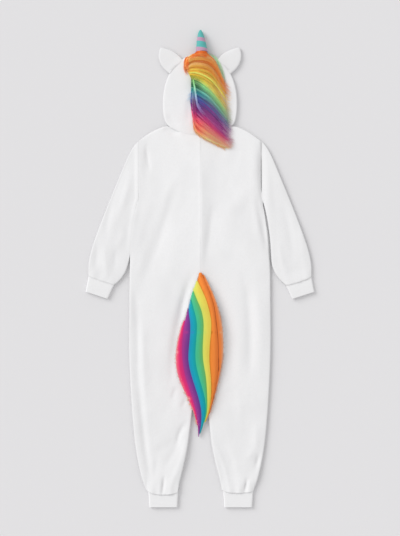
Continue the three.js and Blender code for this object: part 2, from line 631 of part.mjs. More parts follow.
// A lock between two curves in plan, on a surface: its underside follows the surface and its top is full.
function lock({ left, right, under, thick, rows, columns }) {
  const point = (along, across, face) => {
    const a = left(along);
    const b = right(along);
    const inset = Math.min(0.22 / Math.max(a.distanceTo(b), 0.5), 0.4);
    const at = a.lerp(b, lerp(inset, 1 - inset, across));
    const bottom = under(at.x, at.y);
    return new THREE.Vector3(at.x, at.y, face === "outer" ? bottom + thick(across, along, at) : bottom);
  };
  const shares = (cells) => Array.from({ length: cells + 1 }, (_, i) => i / cells);
  const line = (along, face) => shares(columns).map((across) => point(along, across, face));
  const grid = (face) => shares(rows).map((along) => line(along, face));
  return wallBetween(grid("outer"), grid("inner"));
}

function maneCurve(edge) {
  return new THREE.SplineCurve([
    new THREE.Vector2(...edge.root),
    new THREE.Vector2(...edge.crest),
    new THREE.Vector2(...edge.bend),
    new THREE.Vector2(...edge.tip),
  ]);
}

// One colour of the mane: thick over the root, thin at its split tips, with two fuller strands in it.
function maneLock(upper, lower) {
  const [a, b] = [maneCurve(upper), maneCurve(lower)];
  const under = (x, y) => Math.max(hoodHeight(x, y), backHeight(x, y)) + 1 + 5 * heldByHorn(x, y);
  const split = (along, across) => along * (1 - 0.07 * Math.abs(Math.sin(2 * Math.PI * across)) * along);
  const thick = (across, along, at) => {
    const length = smoothstep(along, -0.12, 0.2) * (1 - 0.85 * along ** 1.6);
    const strands = 0.7 + 0.3 * Math.abs(Math.sin(2 * Math.PI * across));
    return 1.2 + 13 * length * strands * (1 - 0.4 * heldByHorn(at.x, at.y));
  };
  return lock({
    left: (along) => a.getPoint(split(along, 0)),
    right: (along) => b.getPoint(split(along, 1)),
    under,
    thick,
    rows: 8,
    columns: 4,
  });
}

// The height of the tail's underside: over the highest cloth beneath it, then down between the legs.
function tailRest(y) {
  const level = (at) => {
    let highest = 0;
    for (const x of [-60, -45, -30, -15, 0, 15, 30, 45, 60]) {
      const inside = x > valueAt(tailSections, "left", at) - 6 && x < valueAt(tailSections, "right", at) + 6;
      if (inside) highest = Math.max(highest, backHeight(x, at));
    }
    return highest;
  };
  const onBody = Math.max(y, -384);
  const height = Math.max(level(onBody - 12), level(onBody), level(onBody + 12)) + 1;
  return lerp(2.5, height + 0.5, smoothstep(y, -478, -384));
}

// The tail's pieces share their cross-sections, so that they lie closely against each other.
const tailLevels = tailSections.flatMap(({ y }, i) => {
  const above = tailSections[i + 1];
  return above && above.y - y > 40 ? [y, (y + above.y) / 2] : [y];
});

function atLevel(height, y) {
  const i = clamp(tailLevels.findIndex((level) => level > y), 1, tailLevels.length - 1);
  const [low, high] = [tailLevels[i - 1], tailLevels[i]];
  return lerp(height(low), height(high), (y - low) / (high - low));
}

function tailEdge(column, rows) {
  return (along) => {
    const y = rows[Math.round(along * (rows.length - 1))];
    return new THREE.Vector2(atLevel((level) => valueAt(tailSections, column, level), y), y);
  };
}

function tailRows(topY, endY) {
  return [topY, ...tailLevels.filter((y) => y < topY - 4 && y > endY + 4).reverse(), endY];
}

const backingCloth = 1.2;

function tailBacking() {
  const rows = tailRows(-14, -462);
  return lock({
    left: tailEdge("left", rows),
    right: tailEdge("right", rows),
    under: (x, y) => atLevel(tailRest, y),
    thick: () => backingCloth,
    rows: rows.length - 1,
    columns: 2,
  });
}

// One stripe of the tail, with the rounded top of a combed lock, on the arch of the whole tail.
function tailLock({ from, to, topY, endY, full }) {
  const thick = (across, along, at) => {
    const left = valueAt(tailSections, "left", at.y);
    const right = valueAt(tailSections, "right", at.y);
    const middle = clamp((2 * (at.x - left)) / Math.max(right - left, 1) - 1, -1, 1);
    const arch = Math.sqrt(Math.max(1 - middle ** 2, 0));
    const ends = smoothstep(at.y, -480, -330) * (1 - 0.75 * smoothstep(at.y, -130, -8));
    const reach = smoothstep(at.y, -470, -380) * (1 - smoothstep(at.y, -60, -10));
    return 1 + tailFullness * arch * Math.max(ends, 0.12) + full * Math.sin(Math.PI * across) * reach;
  };
  const rows = tailRows(topY, endY);
  return lock({
    left: tailEdge(from, rows),
    right: tailEdge(to, rows),
    under: (x, y) => atLevel(tailRest, y) + backingCloth + seam,
    thick,
    rows: rows.length - 1,
    columns: 3,
  });
}

// ---------------------------------------------------------------- buttons

// A flat button with a raised rim, its face down. It lies in the recess of the placket.
function buttonDisc() {
  const { radius, thickness } = button;
  const profile = [
    [0, 0.5],
    [radius * 0.66, 0.5],
    [radius * 0.8, 0],
    [radius, 0.6],
    [radius * 0.94, thickness],
    [0, thickness],
  ].map(([r, z]) => new THREE.Vector2(r, z));
  return new THREE.LatheGeometry(profile, 14).rotateX(Math.PI / 2);
}

// ---------------------------------------------------------------- assembly

const onesie = new THREE.Group();

function add(name, geometry, colour, roughness = 0.95) {
  const material = new THREE.MeshStandardMaterial({ color: colour, roughness, metalness: 0 });
  const mesh = new THREE.Mesh(geometry, material);
  mesh.name = name;
  onesie.add(mesh);
  return mesh;
}

const sides = [
  { name: "left", side: -1 },
  { name: "right", side: 1 },
];

for (const { name, side } of sides) {
  add(`back_${name}`, bodyPanel(side, "back"), colours.fleece);
  add(`front_${name}`, bodyPanel(side, "front"), colours.fleece);
  add(`sleeve_${name}`, sleeve(side), colours.fleece);
  add(`wrist_cuff_${name}`, wristCuffOf(side), colours.fleece);
  add(`ankle_cuff_${name}`, ankleCuffOf(side), colours.fleece);
  add(`hood_${name}`, hoodPanel(side), colours.fleece);
  add(`ear_${name}_back`, earPanel(side, "back"), colours.fleece);
  add(`ear_${name}_front`, earPanel(side, "front"), colours.fleece);
}

const hornMesh = add("horn", hornCone(), colours.horn, 0.7);
const droop = degToRad(horn.droop);
const hornBaseY = hood.centreY + hood.crown + horn.baseRadius * Math.sin(droop) - 0.8;
hornMesh.position.set(horn.baseX, hornBaseY, horn.baseRadius * Math.cos(droop) + 0.6);
hornMesh.rotation.set(-droop, 0, Math.atan2(horn.baseX - horn.tipX, horn.length));

for (let i = 0; i < maneEdges.length - 1; i++) {
  const colour = maneEdges[i].below;
  add(`mane_${colour}`, maneLock(maneEdges[i], maneEdges[i + 1]), colours[colour]);
}

add("tail_backing", tailBacking(), colours.fleece);
for (const stripe of tailStripes) {
  add(`tail_${stripe.name}`, tailLock(stripe), colours[stripe.name]);
}

for (let i = 0; i < button.count; i++) {
  const mesh = add(`button_${i + 1}`, buttonDisc(), colours.button, 0.4);
  mesh.position.set(0, lerp(button.firstY, button.lastY, i / (button.count - 1)), 0.1);
}

export default onesie;
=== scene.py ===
import math
import random

import bpy
import numpy as np
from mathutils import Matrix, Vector, noise
from mathutils.bvhtree import BVHTree


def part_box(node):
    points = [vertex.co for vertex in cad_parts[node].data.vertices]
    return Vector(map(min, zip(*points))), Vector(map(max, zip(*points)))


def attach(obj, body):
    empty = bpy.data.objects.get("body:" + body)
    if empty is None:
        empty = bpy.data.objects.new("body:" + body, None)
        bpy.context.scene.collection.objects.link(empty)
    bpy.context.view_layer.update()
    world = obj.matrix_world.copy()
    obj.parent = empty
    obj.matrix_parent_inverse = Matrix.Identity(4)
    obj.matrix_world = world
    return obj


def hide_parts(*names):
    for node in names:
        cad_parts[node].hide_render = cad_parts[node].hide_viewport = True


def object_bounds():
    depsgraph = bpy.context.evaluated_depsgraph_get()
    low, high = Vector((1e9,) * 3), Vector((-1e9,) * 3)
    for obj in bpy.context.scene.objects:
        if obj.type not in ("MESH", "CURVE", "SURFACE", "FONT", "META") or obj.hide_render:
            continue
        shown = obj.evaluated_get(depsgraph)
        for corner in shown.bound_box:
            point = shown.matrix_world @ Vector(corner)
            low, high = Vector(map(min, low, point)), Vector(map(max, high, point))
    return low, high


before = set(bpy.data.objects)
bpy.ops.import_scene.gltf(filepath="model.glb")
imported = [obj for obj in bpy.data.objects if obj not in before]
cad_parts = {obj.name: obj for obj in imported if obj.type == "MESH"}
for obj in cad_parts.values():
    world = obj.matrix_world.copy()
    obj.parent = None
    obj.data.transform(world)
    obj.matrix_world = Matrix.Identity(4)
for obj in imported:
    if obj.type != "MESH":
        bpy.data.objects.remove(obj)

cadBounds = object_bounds()
mm = 0.001


# ---- camera: straight above the onesie, its horn at the top of the picture

cameraValues = {"lens": 85, "sensor": 36, "height": 3.5486, "aimX": 0.0, "aimY": 0.001}

cameraData = bpy.data.cameras.new("camera")
cameraData.lens = cameraValues["lens"]
cameraData.sensor_width = cameraValues["sensor"]
cameraData.clip_start = 0.05
camera = bpy.data.objects.new("camera", cameraData)
camera.location = (cameraValues["aimX"], cameraValues["aimY"], cameraValues["height"])
bpy.context.scene.collection.objects.link(camera)
bpy.context.scene.camera = camera
print("camera set")


# ---- small tools

def pickOnly(piece):
    bpy.ops.object.select_all(action="DESELECT")
    piece.select_set(True)
    bpy.context.view_layer.objects.active = piece


def applyModifier(piece, kind, **values):
    modifier = piece.modifiers.new(kind.lower(), kind)
    for key, value in values.items():
        setattr(modifier, key, value)
    pickOnly(piece)
    bpy.ops.object.modifier_apply(modifier=modifier.name)


def linear(hexColour):
    channels = [int(hexColour[i:i + 2], 16) / 255 for i in (1, 3, 5)]
    return [c / 12.92 if c <= 0.04045 else ((c + 0.055) / 1.055) ** 2.4 for c in channels]


def softStep(value, low, high):
    share = np.clip((value - low) / (high - low), 0, 1)
    return share * share * (3 - 2 * share)


def pointsOf(piece):
    points = np.empty(len(piece.data.vertices) * 3)
    piece.data.vertices.foreach_get("co", points)
    return points.reshape(-1, 3)


def setPoints(piece, points):
    piece.data.vertices.foreach_set("co", points.ravel())
    piece.data.update()


def cloudHeight(points, size, seed):
    return np.array([noise.noise(Vector((x / size, y / size, seed))) for x, y, z in points])


# a smooth copy of a solid: sharp rims stay, everything between them is rounded
def softCopy(nodeName, pieceName, levels=2, sharp=48):
    piece = bpy.data.objects.new(pieceName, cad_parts[nodeName].data.copy())
    bpy.context.scene.collection.objects.link(piece)
    pickOnly(piece)
    bpy.ops.mesh.customdata_custom_splitnormals_clear()
    bpy.ops.object.mode_set(mode="EDIT")
    bpy.context.tool_settings.mesh_select_mode = (False, True, False)
    bpy.ops.mesh.select_all(action="SELECT")
    bpy.ops.mesh.remove_doubles(threshold=0.02 * mm)
    bpy.ops.mesh.tris_convert_to_quads(face_threshold=math.radians(50), shape_threshold=math.radians(80))
    bpy.ops.mesh.select_all(action="DESELECT")
    bpy.ops.mesh.edges_select_sharp(sharpness=math.radians(sharp))
    bpy.ops.transform.edge_crease(value=1)
    bpy.ops.object.mode_set(mode="OBJECT")
    applyModifier(piece, "SUBSURF", levels=levels, render_levels=levels)
    return piece


def finishPiece(piece, material, nodeNames, angle=42):
    piece.data.materials.clear()
    piece.data.materials.append(material)
    pickOnly(piece)
    bpy.ops.object.shade_smooth_by_angle(angle=math.radians(angle))
    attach(piece, "root")
    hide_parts(*nodeNames)
    return piece


# ---- materials

def newMaterial(name, colour, roughness, sheen=0.0):
    material = bpy.data.materials.new(name)
    material.use_nodes = True
    shader = material.node_tree.nodes["Principled BSDF"]
    shader.inputs["Base Color"].default_value = (*colour, 1)
    shader.inputs["Roughness"].default_value = roughness
    shader.inputs["Sheen Weight"].default_value = sheen
    shader.inputs["Sheen Roughness"].default_value = 0.45
    shader.inputs["Specular IOR Level"].default_value = 0.25
    return material


def addNode(material, kind, **values):
    node = material.node_tree.nodes.new(kind)
    for key, value in values.items():
        setattr(node, key, value)
    return node


def connect(material, output, inputSocket):
    material.node_tree.links.new(output, inputSocket)


# noise in the piece's own coordinates, drawn out along one way
def grain(material, scale, detail=3.0, stretch=(1, 1, 1), turn=0.0):
    where = addNode(material, "ShaderNodeTexCoord")
    mapping = addNode(material, "ShaderNodeMapping")
    mapping.inputs["Scale"].default_value = stretch
    mapping.inputs["Rotation"].default_value = (0, 0, turn)
    texture = addNode(material, "ShaderNodeTexNoise")
    texture.inputs["Scale"].default_value = scale
    texture.inputs["Detail"].default_value = detail
    connect(material, where.outputs["Object"], mapping.inputs["Vector"])
    connect(material, mapping.outputs["Vector"], texture.inputs["Vector"])
    return texture.outputs["Fac"]


def mixColour(material, factor, first, second, low=0.3, high=0.7):
    ramp = addNode(material, "ShaderNodeMapRange")
    ramp.inputs["From Min"].default_value = low
    ramp.inputs["From Max"].default_value = high
    connect(material, factor, ramp.inputs["Value"])
    mix = addNode(material, "ShaderNodeMix", data_type="RGBA")
    connect(material, ramp.outputs["Result"], mix.inputs["Factor"])
    for socket, colour in ((mix.inputs[6], first), (mix.inputs[7], second)):
        if isinstance(colour, bpy.types.NodeSocket):
            connect(material, colour, socket)
        else:
            socket.default_value = (*colour, 1)
    return mix.outputs[2]


def addBump(material, heights):
    shader = material.node_tree.nodes["Principled BSDF"]
    last = None
    for height, strength, distance in heights:
        bump = addNode(material, "ShaderNodeBump")
        bump.inputs["Strength"].default_value = strength
        bump.inputs["Distance"].default_value = distance
        connect(material, height, bump.inputs["Height"])
        if last is not None:
            connect(material, last, bump.inputs["Normal"])
        last = bump.outputs["Normal"]
    connect(material, last, shader.inputs["Normal"])


# short brushed pile in the colours painted on a piece, painted shade and highlights included, lighter and
# darker in soft clouds
def plushMaterial(name, dark=0.955, sheen=0.3, streaks=(1, 0.55, 1)):
    material = newMaterial(name, (0.8, 0.8, 0.8), 0.92, sheen)
    shader = material.node_tree.nodes["Principled BSDF"]
    painted = addNode(material, "ShaderNodeAttribute", attribute_name="napColourAndPaintedLight")
    darker = addNode(material, "ShaderNodeHueSaturation")
    darker.inputs["Value"].default_value = dark
    connect(material, painted.outputs["Color"], darker.inputs["Color"])
    clouds = grain(material, 14, 4, (1, 0.6, 1))
    lying = mixColour(material, clouds, darker.outputs["Color"], painted.outputs["Color"], 0.28, 0.55)
    tufts = grain(material, 330, 3, streaks)
    tone = mixColour(material, tufts, darker.outputs["Color"], lying, 0.15, 0.55)
    connect(material, tone, shader.inputs["Base Color"])
    addBump(material, [(tufts, 0.2, 0.9 * mm), (grain(material, 1100, 2), 0.25, 0.35 * mm)])
    return material


def paint(piece, layerName, colours):
    layer = piece.data.color_attributes.new(layerName, "FLOAT_COLOR", "POINT")
    values = np.hstack([np.clip(colours, 0, 0.95), np.ones((len(colours), 1))])
    layer.data.foreach_set("color", values.ravel())


def normalsOf(piece):
    normals = np.empty(len(piece.data.vertices) * 3)
    piece.data.vertex_normals.foreach_get("vector", normals)
    return normals.reshape(-1, 3)


# two pieces that are sewn together meet at their seam
def meetSeams(piece, gap):
    points = pointsOf(piece)
    points[:, :2] += normalsOf(piece)[:, :2] * gap * mm
    setPoints(piece, points)


# white nap with painted shade: greyer towards the ankles and the sleeves, a painted falloff of the light, and
# darker where the cloth turns over at an edge, a painted shade on the sides that face away from the top
def paintWhiteAndShade(piece, paintedShade=1.0):
    points, normals = pointsOf(piece), normalsOf(piece)
    down = softStep(-points[:, 1], -cadBounds[1][1], -cadBounds[0][1])
    sideShade = softStep(np.abs(points[:, 0]), 0.12, 0.22)
    turned = softStep(1 - np.abs(normals[:, 2]), 0.0, 0.4)
    tone = (1 - whiteShadeValues["downShade"] * down - whiteShadeValues["sides"] * sideShade) * (1 - whiteShadeValues["turned"] * turned)
    paint(piece, "napColourAndPaintedLight", paintedShade * tone[:, None] * np.array(whiteColour))


# knitted rib: rounded wales along the limb, worked out across it
def ribMaterial(name, colour, turn):
    material = newMaterial(name, colour, 0.9, 0.15)
    where = addNode(material, "ShaderNodeTexCoord")
    mapping = addNode(material, "ShaderNodeMapping")
    mapping.inputs["Rotation"].default_value = (0, 0, turn)
    waves = addNode(material, "ShaderNodeTexWave", bands_direction="X")
    waves.inputs["Scale"].default_value = 150
    waves.inputs["Distortion"].default_value = 0.4
    waves.inputs["Detail"].default_value = 1
    connect(material, where.outputs["Object"], mapping.inputs["Vector"])
    connect(material, mapping.outputs["Vector"], waves.inputs["Vector"])
    tone = mixColour(material, waves.outputs["Fac"], [c * 0.94 for c in colour], colour, 0.0, 0.5)
    connect(material, tone, material.node_tree.nodes["Principled BSDF"].inputs["Base Color"])
    addBump(material, [(waves.outputs["Fac"], 0.35, 0.6 * mm), (grain(material, 1200, 2), 0.25, 0.3 * mm)])
    return material


# fur takes its colour from the strands' own attribute
def furMaterial(name):
    material = newMaterial(name, (0.8, 0.8, 0.8), 0.7, 0.05)
    shader = material.node_tree.nodes["Principled BSDF"]
    shader.inputs["Specular IOR Level"].default_value = 0.1
    colour = addNode(material, "ShaderNodeAttribute", attribute_name="furColour")
    streaks = grain(material, 420, 2, (1, 0.35, 1), 0.6)
    darker = addNode(material, "ShaderNodeHueSaturation")
    darker.inputs["Value"].default_value = 0.92
    connect(material, colour.outputs["Color"], darker.inputs["Color"])
    tone = mixColour(material, streaks, darker.outputs["Color"], colour.outputs["Color"], 0.3, 0.55)
    connect(material, tone, shader.inputs["Base Color"])
    addBump(material, [(streaks, 0.25, 0.8 * mm)])
    return material


whiteColour = (0.865, 0.865, 0.87)
# how much painted shade the white cloth gets towards the ankles, out on the sleeves and where it turns over
whiteShadeValues = {"downShade": 0.035, "sides": 0.025, "turned": 0.17}
fleece = plushMaterial("whiteFleece")
print("materials made")


# ---- body, sleeves and hood: soft shells on the cut pieces

# creases in the cloth, in millimetres from the middle of the onesie. The columns are where a crease starts,
# where it ends, how far it bows, its width and its rise
armholeCreases = [
    ((-171, 362), (-172, 180), 0, 10, 1.3),
    ((-174, 196), (-196, 40), 2, 9, 0.9),
    ((171, 354), (173, 184), 0, 9, -3.9),
    ((175, 214), (192, 30), -4, 9, -3.2),
]
seamCrease = ((0, 560), (0, -460), 0, 3, -0.85)
backCreases = armholeCreases + [
    seamCrease,
    ((-151, 344), (-139, 272), -2, 4, -2.4),
    ((-100, 394), (-56, 378), 0, 9, -3.4),
    ((-60, 366), (-20, 352), -3, 8, 0.8),
    ((104, 345), (74, 270), 6, 16, -1.2),
    ((160, 200), (188, 60), -4, 7, -1.8),
    ((150, 210), (176, 70), -5, 9, 1.0),
    ((3, 262), (3, -10), 0, 4, -0.5),
    ((36, 176), (13, 4), 0, 8, -1.6),
    ((47, 176), (25, 4), 0, 21, -1.4),
    ((-76, 254), (-182, -44), 0, 13, 1.9),
    ((-58, 248), (-164, -50), 0, 14, -1.6),
    ((-38, 242), (-144, -56), 0, 27, -1.9),
    ((-30, -36), (-58, -170), -4, 9, -3.0),
    ((-182, -60), (-176, -330), 5, 8, -2.4),
    ((-172, -280), (-136, -616), -5, 9, -3.6),
    ((-166, -150), (-158, -380), 3, 10, 1.4),
    ((76, 150), (134, 236), -6, 18, 1.4),
    ((118, 0), (137, -300), 12, 10, -1.8),
    ((152, -20), (164, -320), 7, 12, 1.0),
    ((-16, -4), (-80, -330), -16, 11, -3.6),
    ((24, -10), (78, -330), 21, 21, -4.2),
    ((-33, -430), (-64, -494), -8, 6, -3.8),
    ((-60, -482), (-142, -532), -5, 11, -1.4),
    ((-37, -446), (-86, -612), 10, 7, 1.2),
    ((-58, -470), (-104, -560), 6, 8, -1.4),
    ((-66, -330), (-78, -368), 0, 6, -2.0),
    ((-38, -362), (-52, -392), 0, 6, -1.8),
    ((-122, -520), (-134, -600), 4, 8, -1.2),
    ((-100, -580), (-108, -624), 1, 5, -3.2),
    ((164, -522), (158, -556), 0, 5.5, -3.6),
    ((155, -430), (158, -524), 0, 9, 1.4),
    ((152, -512), (124, -536), 0, 6, 1.2),
    ((33, -480), (80, -608), 8, 6, 1.6),
    ((60, -480), (96, -590), 7, 10, -1.4),
    ((133, -586), (126, -622), 0, 5, -3.0),
    ((104, -330), (112, -470), 5, 11, 0.8),
]
sleeveCreases = armholeCreases + [
    ((-188, 330), (-264, 136), -4, 8, -1.4),
    ((-200, 250), (-226, 150), 4, 9, 1.0),
    ((-246, 176), (-262, 80), -5, 8, -1.2),
    ((-212, 120), (-246, 40), 6, 9, 1.0),
    ((-292, 90), (-292, -4), 3, 7, -1.6),
    ((-270, 60), (-262, -28), 3, 8, 1.4),
    ((-236, 60), (-240, -10), 0, 6, -1.2),
    ((190, 300), (206, 130), -4, 9, 0.8),
    ((226, 200), (262, 20), 6, 9, -1.4),
    ((282, 130), (298, 0), -4, 8, 1.0),
    ((220, 80), (248, -36), -5, 8, 1.4),
]
hoodCreases = [
    seamCrease,
    ((-36, 480), (-36, 404), 3, 7, -1.2),
    ((-92, 432), (-58, 400), -4, 8, -1.4),
    ((-70, 560), (-40, 500), 8, 12, 0.7),
    ((92, 520), (84, 440), -4, 7, 0.7),
    ((86, 430), (60, 398), 4, 7, -1.0),
]


def creaseHeight(points, creases):
    total = np.zeros(len(points))
    for start, end, bow, width, rise in creases:
        start, end = np.array(start, float), np.array(end, float)
        along = end - start
        length = np.linalg.norm(along)
        side = np.array([-along[1], along[0]]) / length
        away = points[:, :2] - start
        share = np.clip(away @ along / length ** 2, 0, 1)
        middle = start + share[:, None] * along + (4 * bow * share * (1 - share))[:, None] * side
        gap = np.linalg.norm(points[:, :2] - middle, axis=1)
        total += rise * np.exp(-(gap / width) ** 2) * np.sin(math.pi * share) ** 0.7
    return total


# the upper layer gets all of a crease, the lower layer keeps flat on what it lies on
def addCreases(piece, creases, clouds, seed, floorHeight=4.7):
    points = pointsOf(piece) / mm
    upper = softStep(points[:, 2], floorHeight, floorHeight + 4)
    rise = creaseHeight(points, creases)
    rise += clouds * cloudHeight(points, 46, seed) + 0.45 * clouds * cloudHeight(points, 17, seed + 9)
    points[:, 2] += upper * rise
    setPoints(piece, points * mm)


# heights of what something lies on, looked up from above
def treeOf(pieces):
    vertices, faces = [], []
    for piece in pieces:
        start = len(vertices)
        vertices += [v.co.copy() for v in piece.data.vertices]
        faces += [[start + i for i in p.vertices] for p in piece.data.polygons]
    return BVHTree.FromPolygons(vertices, faces)


def heightOn(tree, x, y, missing):
    hit = tree.ray_cast(Vector((x * mm, y * mm, 0.2)), Vector((0, 0, -1)))
    return hit[0].z / mm if hit[0] is not None else missing


# seams whose edges are moved, in millimetres: points along the seam, each with how far its edges are drawn
# together and the height that both come to, or 0 for the height of the cloth beside them
flushSeams = [
    {
        "pieces": ("back_left", "sleeve_left"),
        "line": [(-171.2, 356, 0.4, 9.2), (-171.2, 196, 0.5, 9.4), (-178.6, 173, 0.8, 9.6),
                 (-184, 148, 1.2, 9.8), (-189.1, 118, 1.5, 9.8), (-191.8, 92, 1.7, 9.8),
                 (-194.3, 66, 1.8, 9.6), (-196, 42, 1.6, 9.0), (-197, 26, 0.5, 8.0)],
        "reach": 16.0,
        "amount": 0.95,
    },
    {
        "pieces": ("back_left", "back_right", "hood_left", "hood_right"),
        "line": [(-86, 396.7, 0.2, 0), (-66, 385.9, 0.5, 0), (-48, 378.8, 0.5, 0), (-30, 374.1, 0.5, 0),
                 (-14, 371.9, 0.5, 0), (0, 371.4, 0.5, 0), (14, 371.9, 0.5, 0), (30, 374.1, 0.5, 0),
                 (48, 378.8, 0.5, 0), (66, 385.9, 0.5, 0), (86, 396.7, 0.2, 0)],
        "reach": 9.0,
        "amount": 0.92,
    },
    {
        "pieces": ("back_right", "sleeve_right"),
        "line": [(171.2, 352, -0.3, 0), (171.2, 196, -0.8, 0), (178.6, 173, -1.2, 0), (184, 148, -1.6, 0),
                 (189.1, 118, -1.8, 0), (191.8, 92, -1.8, 0), (194.3, 66, -1.8, 0), (196, 42, -1.4, 0),
                 (197.6, 20, -0.4, 0)],
        "reach": 11.0,
        "amount": 0.0,
    },
]


def flushSeam(piece, seam):
    points = pointsOf(piece) / mm
    tree = treeOf([piece])
    distance = np.full(len(points), 1e6)
    nearest = np.zeros((len(points), 4))
    for first, second in zip(seam["line"][:-1], seam["line"][1:]):
        start, along = np.array(first, float), np.array(second, float) - first
        share = np.clip((points[:, :2] - start[:2]) @ along[:2] / (along[:2] @ along[:2]), 0, 1)
        onLine = start + share[:, None] * along
        gap = np.linalg.norm(points[:, :2] - onLine[:, :2], axis=1)
        closer = gap < distance
        distance[closer], nearest[closer] = gap[closer], onLine[closer]
    near = 1 - softStep(distance, 0.3 * seam["reach"], seam["reach"])
    toSeam = (nearest[:, :2] - points[:, :2]) / np.maximum(distance, 0.05)[:, None]
    for i in np.nonzero((near > 0) & (points[:, 2] > 4.5))[0]:
        x, y = nearest[i, :2] - toSeam[i] * seam["reach"]
        level = heightOn(tree, x, y, points[i, 2])
        if nearest[i, 3] > 0:
            level += near[i] * (nearest[i, 3] - level)
        points[i, 2] += near[i] * seam["amount"] * softStep(points[i, 2], 4.5, 5.6) * (level - points[i, 2])
    points[:, :2] += (near * nearest[:, 2])[:, None] * toSeam
    setPoints(piece, points * mm)


# the legs and the wearer's right sleeve puff out over their cuffs, in millimetres
hemPuffs = {
    "back_left": {"middle": (-103, -620), "down": (0, -1), "half": 45, "reach": 60, "drop": 13, "rise": 3.6},
    "back_right": {"middle": (108, -620), "down": (0, -1), "half": 45, "reach": 50, "drop": 8, "rise": 3.2},
    "sleeve_left": {"middle": (-276, -34), "down": (-0.31, -0.95), "half": 38, "reach": 26, "drop": 1.5,
                    "rise": 1.2},
    "sleeve_right": {"middle": (276, -34), "down": (0.31, -0.95), "half": 40, "reach": 30, "drop": 4,
                     "rise": 2.4},
}


def puffHem(piece, puff):
    points = pointsOf(piece) / mm
    down = np.array(puff["down"])
    away = points[:, :2] - np.array(puff["middle"])
    across = away @ np.array([down[1], -down[0]]) / puff["half"]
    near = softStep(away @ down, -puff["reach"], 0) * softStep(points[:, 2], 4.2, 7)
    bowl = np.sqrt(np.clip(1 - across ** 2, 0, 1))
    points[:, :2] += (near ** 3 * bowl * puff["drop"])[:, None] * down
    points[:, 2] += near * bowl * puff["rise"]
    setPoints(piece, points * mm)


panelValues = {
    "back": {"creases": backCreases, "clouds": 0.55, "flat": (0.2, 1.02), "area": 0.18, "rests": "front"},
    "front": {"creases": [], "clouds": 0.0, "flat": (0.213, 1.02), "area": 0.183, "rests": "floor"},
    "sleeve": {"creases": sleeveCreases, "clouds": 0.5, "flat": (0.23, 0.41), "area": 0.0605,
               "rests": "floor"},
    "hood": {"creases": hoodCreases, "clouds": 0.4, "flat": (0.19, 0.27), "area": 0.036, "rests": "floor"},
}

floorSize = 6.0
bpy.ops.mesh.primitive_plane_add(size=floorSize, location=(0, 0, -0.4 * mm))
floor = bpy.context.active_object
floor.name = "floor"

clothPieces = {}
for side in ("left", "right"):
    for part in ("front", "back", "sleeve", "hood"):
        values = panelValues[part]
        piece = softCopy(f"{part}_{side}", f"{part}{side.capitalize()}")
        for seam in flushSeams:
            if f"{part}_{side}" in seam["pieces"]:
                flushSeam(piece, seam)
        addCreases(piece, values["creases"], values["clouds"], 3.0 if side == "left" else 7.0)
        if f"{part}_{side}" in hemPuffs:
            puffHem(piece, hemPuffs[f"{part}_{side}"])
        meetSeams(piece, 0.22)
        # the white colour with its painted shade
        paintWhiteAndShade(piece)
        finishPiece(piece, fleece, [f"{part}_{side}"])
        clothPieces[f"{part}_{side}"] = piece
print("body, sleeves and hood made")


# ---- ears: a back and a front layer, sewn round their edge

earValues = {
    "flat": (0.062, 0.075),
    "area": 0.0033,
    "hoodMiddle": (0.0, 480.0),
    "hoodHalf": (105.0, 120.0),
    "reach": 14.0,
    "tuck": 4.5,
    "lift": 1.2,
    "paintedShade": 0.96,
}


# the ear's base is drawn in to the hood's rim
def tuckEar(piece):
    points = pointsOf(piece) / mm
    away = points[:, :2] - np.array(earValues["hoodMiddle"])
    ratio = np.linalg.norm(away / np.array(earValues["hoodHalf"]), axis=1)
    distance = (ratio - 1) * np.linalg.norm(away, axis=1) / ratio
    near = 1 - softStep(distance, 0, earValues["reach"])
    outward = away / np.linalg.norm(away, axis=1)[:, None]
    points[:, :2] -= (near * earValues["tuck"])[:, None] * outward
    points[:, 2] += near * softStep(points[:, 2], 3.0, 6.0) * earValues["lift"]
    setPoints(piece, points * mm)


for side in ("left", "right"):
    for layer in ("front", "back"):
        piece = softCopy(f"ear_{side}_{layer}", f"ear{side.capitalize()}{layer.capitalize()}")
        tuckEar(piece)
        # the ears' white is painted a little greyer than the hood's: a painted shade
        paintWhiteAndShade(piece, earValues["paintedShade"])
        finishPiece(piece, fleece, [f"ear_{side}_{layer}"])
        clothPieces[f"ear_{side}_{layer}"] = piece
print("ears made")


# ---- cuffs: tubes of rib

cuffValues = {
    "wrist": {"flat": (0.142, 0.043), "area": 0.0061, "turn": 21.0},
    "ankle": {"flat": (0.165, 0.048), "area": 0.0079, "turn": 0.0},
}

for side, sign in (("left", -1), ("right", 1)):
    for joint, values in cuffValues.items():
        turn = math.radians(values["turn"]) * -sign
        rib = ribMaterial(f"{joint}Rib{side.capitalize()}", whiteColour, turn)
        piece = softCopy(f"{joint}_cuff_{side}", f"{joint}Cuff{side.capitalize()}")
        finishPiece(piece, rib, [f"{joint}_cuff_{side}"])
print("cuffs made")


# ---- horn: a stuffed cone in bands of teal and pink plush

hornValues = {
    "teal": linear("#56b0ab"),
    "pink": linear("#bb92ac"),
    "bands": [0.0, 0.246, 0.502, 0.664],
    "tilt": 0.16,
}


